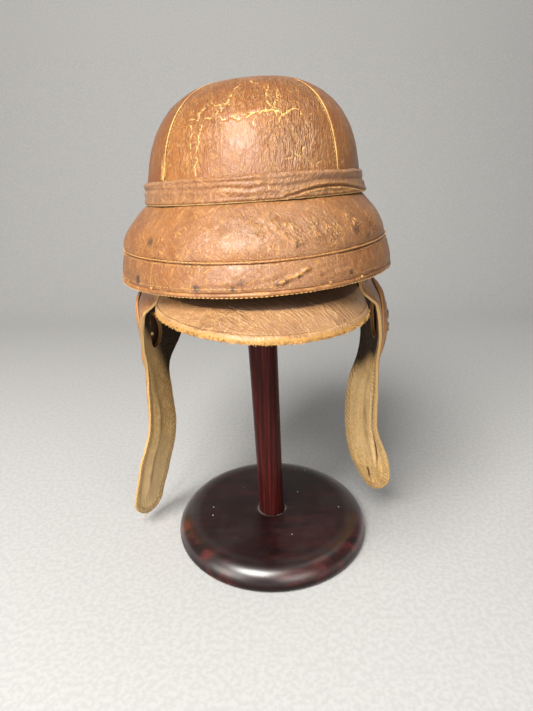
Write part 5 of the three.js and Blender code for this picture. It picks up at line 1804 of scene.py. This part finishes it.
cover_leather = leather(
    "cover_leather", COVER_TAN, COVER_DEEP, COVER_GOLD, LEATHER_ROSY_AND_SHEEN,
    craze_cover=0.50, scratch_cover=0.42, gloss=0.34, cut_edge=COVER_CUT)
for side, flap in FLAPS.items():
    spoke = np.linspace(0, 2 * np.pi, 193)[None, :]
    ring = np.concatenate([np.linspace(1, 0.9, 9), np.linspace(0.88, 0, 32)])[:, None]
    back = COVER["half_width"] * ring * np.cos(spoke)
    up = COVER["half_height"] * ring * np.sin(spoke)
    base = on_cover(flap, back, up, 0.0)
    from_edge = (1 - ring) * COVER_RADIUS
    seat = bell(from_edge - COVER_STITCHED, 1.0)
    gathered = 0.2 * np.sin(46 * spoke + 3 * lumps(base, 12, 151)) * bell(from_edge - 6, 3.5)
    detail = 0.30 * lumps(base, 16, 152) + 0.14 * lumps(base, 5, 153) - 0.5 * seat + gathered
    rounded = 0.5 * bell(from_edge, 0.8)
    outer = on_cover(flap, back, up, COVER["thickness"] + detail - rounded)
    inner = on_cover(flap, back, up, 0 * detail)
    points, faces = wall(outer, inner, COVER_THIN, "T")
    values = {
        "relief": as_relief(detail, 1.0), "cut": bell(from_edge, 0.6) + 0 * detail,
        "scuff": 0.45 * patches(base, 10, 154, 0.4, 0.9), "soil_and_shade": 0.5 * seat + 0 * detail,
    }
    values = {key: on_both(value, COVER_THIN) for key, value in values.items()}
    # Painted shade: the cover's inner face, seen through the ear hole, is painted nearly black.
    values["soil_and_shade"][outer.shape[0] * outer.shape[1]:] = 1.2
    skin = on_both(stacked(back, up) * MM, COVER_THIN)
    cover = add_piece(f"ear_cover_leather_{side}", on_head(points), faces, skin, values)
    cover.data.materials.append(cover_leather)
    bores = []
    for middle, normal in vent_places(flap):
        points, faces = rod(middle, normal, circle(VENT["tube"] + VENT_CLEARANCE, 28), VENT_CUTTER)
        bores.append((on_head(points), faces))
    cut_out(cover, bores)
    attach(cover, "root")
    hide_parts(f"ear_cover_{side}")

    spoke = np.linspace(0, 2 * np.pi, 88, endpoint=False)
    middles = on_cover_seam(flap, spoke, -0.35)
    along = unit(on_cover_seam(flap, spoke + 0.02, -0.35) - middles)
    outwards = unit(on_cover_seam(flap, spoke, 1) - middles)
    parts = [stitches(middles, along, outwards, 2.2, 0.34)]
    cover_thread = add_sewing(f"cover_thread_{side}", parts, flap_thread)
    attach(cover_thread, "root")


# The vents
# Rolled brass eyelets, pressed into the covers and dulled with age. Light shows through them from inside.

BRASS = (0.66, 0.50, 0.24, 1)
BRASS_TARNISH = (0.20, 0.135, 0.06, 1)


def lathe(profile, segments):
    """A closed turned shape about the Z axis, from radius and height pairs that start and end on the axis or
    come back to the first pair."""
    profile = np.asarray(profile, float)
    angle = np.linspace(0, 2 * np.pi, segments + 1)[None, :]
    radius, height = profile[:, :1], profile[:, 1:]
    points = stacked(radius * np.cos(angle), radius * np.sin(angle), height + 0 * angle)
    return points.reshape(-1, 3), [grid_quads(len(profile), segments + 1)]


def vent_brass():
    """Dull brass, tarnished brown in blotches and worn brighter elsewhere."""
    material, tree, shader, here, _ = new_material("vent_brass")
    tarnish = eased(tree, noise(tree, here, 700, 4, 0.6), 0.40, 0.66)
    colour = blended(tree, tarnish, BRASS, BRASS_TARNISH)
    roughness = eased(tree, tarnish, 0, 1, 0.32, 0.62)
    finish_material(tree, shader, colour, roughness, bump(tree, tarnish, 0.00006, 0.5))
    shader.inputs["Metallic"].default_value = 1.0
    return material


brass = vent_brass()
foot = -COVER["thickness"] - VENT["inside"]
under = VENT_CLEARANCE
middle_out = (VENT["flange"] + VENT["bore"]) / 2
rolled = np.linspace(0, np.pi, 11)
half_roll = (VENT["flange"] - VENT["bore"]) / 2
crown_of_roll = stacked(middle_out + half_roll * np.cos(rolled), under + 0.25 + 0.65 * np.sin(rolled))
profile = np.concatenate([
    [[VENT["bore"] + 0.1, foot], [VENT["tube"] - 0.05, foot], [VENT["tube"], foot + 0.2]],
    [[VENT["tube"], under], [VENT["flange"] - 0.15, under]], crown_of_roll,
    [[VENT["bore"], foot + 0.15], [VENT["bore"] + 0.1, foot]]])
for side, flap in FLAPS.items():
    for number, (middle, normal) in enumerate(vent_places(flap)):
        points, faces = lathe(profile, 32)
        upright = Vector((0, 0, 1)).rotation_difference(Vector(normal)).to_matrix()
        vent = add_piece(f"vent_{side}_{number + 1}", on_head(points @ np.array(upright).T + middle), faces)
        vent.data.materials.append(brass)
        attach(vent, "root")
        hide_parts(f"eyelet_{side}_{number + 1}")


# The stand
# A turned disc, a tapered post let into it and a domed head that fills the crown, all in a hard red-brown
# wood, stained nearly black and polished. The post leans a little, and dust lies on the disc.

BASE_RADIUS = 101.6
BASE_THICKNESS = 23
BASE_TOP_ROUND = 17
BASE_FOOT_ROUND = (5, 6)
POST_FOOT_RADIUS = 12.9
POST_TOP_RADIUS = 15.5
SOCKET_DEPTH = 12
SOCKET_CLEARANCE = 0.9
HEAD_RADIUS = 44
HEAD_RISE = 12
HEAD_THICKNESS = 24
HEAD_ROUND = 4
HEAD_TOP_Z = 433.9
SEAT_GAP = 0.3
STAIN_DARK = (0.0085, 0.0022, 0.0024, 1)
STAIN_RED = (0.080, 0.0125, 0.0105, 1)
DUST = (0.30, 0.27, 0.26, 1)
LINT = (0.75, 0.73, 0.70, 1)


def stained_wood(name, along, red_cover, dusty, shine, evenly_red=0.0):
    """Polished wood: dark pores and red figure drawn out along the grain. along is the scale of the grain on
    each axis, and evenly_red how red it is between. Where the mesh's dust attribute is high there are haze
    and specks, and less red. ring is packed dust, and polish is where the varnish has kept its gloss."""
    material, tree, shader, here, _ = new_material(name)
    dust = mark(tree, "dust")
    ring = mark(tree, "ring")
    polish = mark(tree, "polish")
    grain = stretched(tree, here, along)
    figure = noise(tree, grain, 1.0, 5, 0.62)
    pores = noise(tree, grain, 7.0, 3, 0.7)
    patches = noise(tree, here, 22, 4, 0.6)
    red = eased(tree, figure, 0.42, 0.68, evenly_red, 1.0)
    red = times(tree, red, eased(tree, patches, red_cover, red_cover + 0.22))
    red = times(tree, red, eased(tree, dust, 0.0, 1.0, 1.0, 0.20))
    colour = blended(tree, red, STAIN_DARK, STAIN_RED)
    colour = blended(tree, eased(tree, pores, 0.50, 0.68, 0.0, 0.7 - 0.5 * evenly_red), colour, STAIN_DARK)
    haze = times(tree, dust, eased(tree, noise(tree, here, 30, 6, 0.65), 0.42, 0.72, 0.004, dusty))
    colour = blended(tree, haze, colour, DUST)
    packed = times(tree, ring, eased(tree, noise(tree, here, 120, 3), 0.35, 0.6, 0.05, 0.5))
    colour = blended(tree, packed, colour, DUST)
    lint = add_node(tree, "TexVoronoi", {"Vector": here, "Scale": 95.0}, feature="F1")
    chosen = eased(tree, add_node(tree, "SeparateColor", {0: lint.outputs["Color"]}).outputs[0], 0.78, 0.80)
    speck = times(tree, eased(tree, lint.outputs["Distance"], 0.04, 0.075, 1.0, 0.0), chosen)
    speck = times(tree, speck, dust)
    colour = blended(tree, times(tree, speck, 0.8), colour, LINT)
    scuffs = noise(tree, here, 60, 5, 0.65)
    roughness = eased(tree, scuffs, 0.3, 0.7, 0.27, 0.38)
    roughness = plus(tree, roughness, times(tree, haze, 1.2), clamp=True)
    height = plus(tree, times(tree, pores, 0.35), times(tree, scuffs, 0.4))
    finish_material(tree, shader, colour, roughness, bump(tree, height, 0.0003, 0.25))
    tree.links.new(polish, shader.inputs["Coat Weight"])
    shader.inputs["Coat Roughness"].default_value = 0.33
    shader.inputs["Coat IOR"].default_value = 1.65
    shader.inputs["Specular IOR Level"].default_value = shine
    return material


def quarter(width, height, middle_z, first, count):
    """Radius and height pairs round a quarter of the disc's edge, from an angle in right angles."""
    angle = (first + np.linspace(0, 1, count)) * np.pi / 2
    return stacked(BASE_RADIUS - width * (1 - np.cos(angle)), middle_z + height * np.sin(angle))


foot_width, foot_height = BASE_FOOT_ROUND
socket = POST_FOOT_RADIUS + SOCKET_CLEARANCE
floor_z = BASE_THICKNESS - SOCKET_DEPTH
profile = np.concatenate([
    [[0, 0], [60, 0], [90, 0]], quarter(foot_width, foot_height, foot_height, -1, 9),
    quarter(BASE_TOP_ROUND, BASE_THICKNESS - foot_height, foot_height, 0, 22)[1:],
    [[78, BASE_THICKNESS], [60, BASE_THICKNESS], [36, BASE_THICKNESS], [socket + 4, BASE_THICKNESS],
     [socket + 2.4, BASE_THICKNESS], [socket + 1.2, BASE_THICKNESS],
     [socket + 0.3, BASE_THICKNESS - 0.2], [socket, BASE_THICKNESS - 0.8], [socket, floor_z], [0, floor_z]]])
points, faces = lathe(profile, 160)
from_axis = np.hypot(points[:, 0], points[:, 1])
topside = smooth_step(points[:, 2], 20.5, BASE_THICKNESS) * (points[:, 2] > 20)
round_socket = bell(from_axis - socket - 0.6, 1.2) * topside
polished = smooth_step(from_axis, 76, 92) * smooth_step(points[:, 2], 7, 15)
marks = {"dust": topside, "ring": round_socket, "polish": polished}
base = add_piece("base", points * MM, faces, None, marks)
base.data.materials.append(stained_wood("base_wood", (14, 62, 40), 0.32, 0.035, 0.22))
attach(base, "root")
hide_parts("stand_base")

post_top = HEAD_TOP_Z - HEAD_THICKNESS - SEAT_GAP - POST_FOOT[2]
side_z = np.linspace(0.5, post_top - 0.5, 60)
side_radius = POST_FOOT_RADIUS + (POST_TOP_RADIUS - POST_FOOT_RADIUS) * side_z / post_top
profile = np.concatenate([
    [[0, 0], [POST_FOOT_RADIUS - 0.6, 0]], stacked(side_radius, side_z),
    [[POST_TOP_RADIUS - 0.5, post_top], [0, post_top]]])
points, faces = lathe(profile, 72)
post = add_piece("post", leant(points), faces, None, {"dust": 0 * points[:, 2]})
post.data.materials.append(stained_wood("post_wood", (320, 320, 9), 0.0, 0.0, 0.10, 0.28))
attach(post, "root")
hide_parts("stand_post")

crest = HEAD_TOP_Z - POST_FOOT[2]
sphere = (HEAD_RADIUS**2 + HEAD_RISE**2) / (2 * HEAD_RISE)
foot = crest - HEAD_THICKNESS
dome_radius = np.linspace(HEAD_RADIUS, 0, 30)
dome = stacked(dome_radius, crest - sphere + np.sqrt(sphere**2 - dome_radius**2))
edge = np.linspace(-np.pi / 2, 0, 9)
profile = np.concatenate([
    [[0, foot]], stacked(HEAD_RADIUS - HEAD_ROUND + HEAD_ROUND * np.cos(edge),
                           foot + HEAD_ROUND + HEAD_ROUND * np.sin(edge)), dome])
points, faces = lathe(profile, 96)
head = add_piece("head", leant(points), faces, None, {"dust": 0 * points[:, 2]})
head.data.materials.append(stained_wood("head_wood", (60, 60, 8), 0.30, 0.0, 0.3, 0.3))
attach(head, "root")
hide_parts("stand_head")


# The studio
# A plain pale floor, four soft lamps and a pale room round it, seen from the photograph's place: half a
# metre in front, just above the helmet's crown, looking down at the stand's foot.

FLOOR_HALF = 2.4
SWEEP_FROM = 0.75
SWEEP_RADIUS = 0.7
SWEEP_TOP = 2.6
CAMERA_AT = (-0.0032, -0.490, 0.393)
CAMERA_PITCH = 21.2
CAMERA_ROLL = -1.0
CAMERA_LENS = 27.04
FLOOR_GREY = (0.40, 0.40, 0.40, 1)
FLOOR_PALE = (0.44, 0.44, 0.44, 1)
ROOM = (0.86, 0.85, 0.84, 1)
ROOM_STRENGTH = 0.10
LAMPS = [
    {"name": "key", "at": (-0.50, -0.98, 1.48), "size": 0.80, "watts": 61, "colour": (1.0, 0.97, 0.92)},
    {"name": "left", "at": (-1.05, -0.95, 0.42), "size": 0.8, "watts": 11, "colour": (1.0, 0.96, 0.90)},
    {"name": "right", "at": (0.55, -1.30, 0.52), "size": 0.8, "watts": 8, "colour": (1.0, 0.96, 0.90)},
    {"name": "backdrop", "at": (0.9, 0.3, 2.2), "size": 1.2, "watts": 5, "colour": (1.0, 0.99, 0.97)},
]
AIMED_AT = Vector((0, 0, 0.28))

level = np.linspace(-FLOOR_HALF, SWEEP_FROM, 8)[:-1]
bend = np.linspace(0, np.pi / 2, 24)
climb = np.linspace(SWEEP_RADIUS, SWEEP_TOP, 4)[1:]
wall_depth = np.full(len(climb), SWEEP_FROM + SWEEP_RADIUS)
depth = np.concatenate([level, SWEEP_FROM + SWEEP_RADIUS * np.sin(bend), wall_depth])
height = np.concatenate([np.zeros(len(level)), SWEEP_RADIUS * (1 - np.cos(bend)), climb])
across = np.linspace(-FLOOR_HALF, FLOOR_HALF, 2)[None, :]
points = stacked(across, depth[:, None], height[:, None]).reshape(-1, 3)
floor_mesh = bpy.data.meshes.new("floor")
floor_mesh.from_pydata(points.tolist(), [], grid_quads(len(depth), 2)[:, ::-1].tolist())
floor_mesh.shade_smooth()
floor = bpy.data.objects.new("floor", floor_mesh)
bpy.context.scene.collection.objects.link(floor)
material, tree, shader, here, _ = new_material("studio_floor")
speckle = noise(tree, here, 220, 4)
colour = blended(tree, eased(tree, speckle, 0.4, 0.6), FLOOR_GREY, FLOOR_PALE)
roughness = eased(tree, speckle, 0.3, 0.7, 0.9, 0.98)
finish_material(tree, shader, colour, roughness, bump(tree, speckle, 0.0004, 0.3))
shader.inputs["Specular IOR Level"].default_value = 0.1
floor_mesh.materials.append(material)
floor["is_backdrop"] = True

for lamp in LAMPS:
    light = bpy.data.lights.new(lamp["name"], "AREA")
    light.energy = lamp["watts"]
    light.size = lamp["size"]
    light.color = lamp["colour"]
    holder = bpy.data.objects.new(lamp["name"], light)
    holder.location = lamp["at"]
    holder.rotation_euler = (AIMED_AT - holder.location).to_track_quat("-Z", "Y").to_euler()
    bpy.context.scene.collection.objects.link(holder)

world = bpy.data.worlds.new("room")
world.use_nodes = True
background = world.node_tree.nodes["Background"]
background.inputs["Color"].default_value = ROOM
background.inputs["Strength"].default_value = ROOM_STRENGTH
bpy.context.scene.world = world
bpy.context.scene.view_settings.view_transform = "Standard"

camera = bpy.data.objects.new("camera", bpy.data.cameras.new("camera"))
camera.data.lens = CAMERA_LENS
looking_down = Matrix.Rotation(np.radians(90 - CAMERA_PITCH), 4, "X")
rolled = Matrix.Rotation(np.radians(CAMERA_ROLL), 4, "Z")
camera.matrix_world = Matrix.Translation(CAMERA_AT) @ looking_down @ rolled
bpy.context.scene.collection.objects.link(camera)
bpy.context.scene.camera = camera

sizes = {"cad": cad_box, "visual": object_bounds()}
{key: [[float(value) for value in corner] for corner in box] for key, box in sizes.items()}
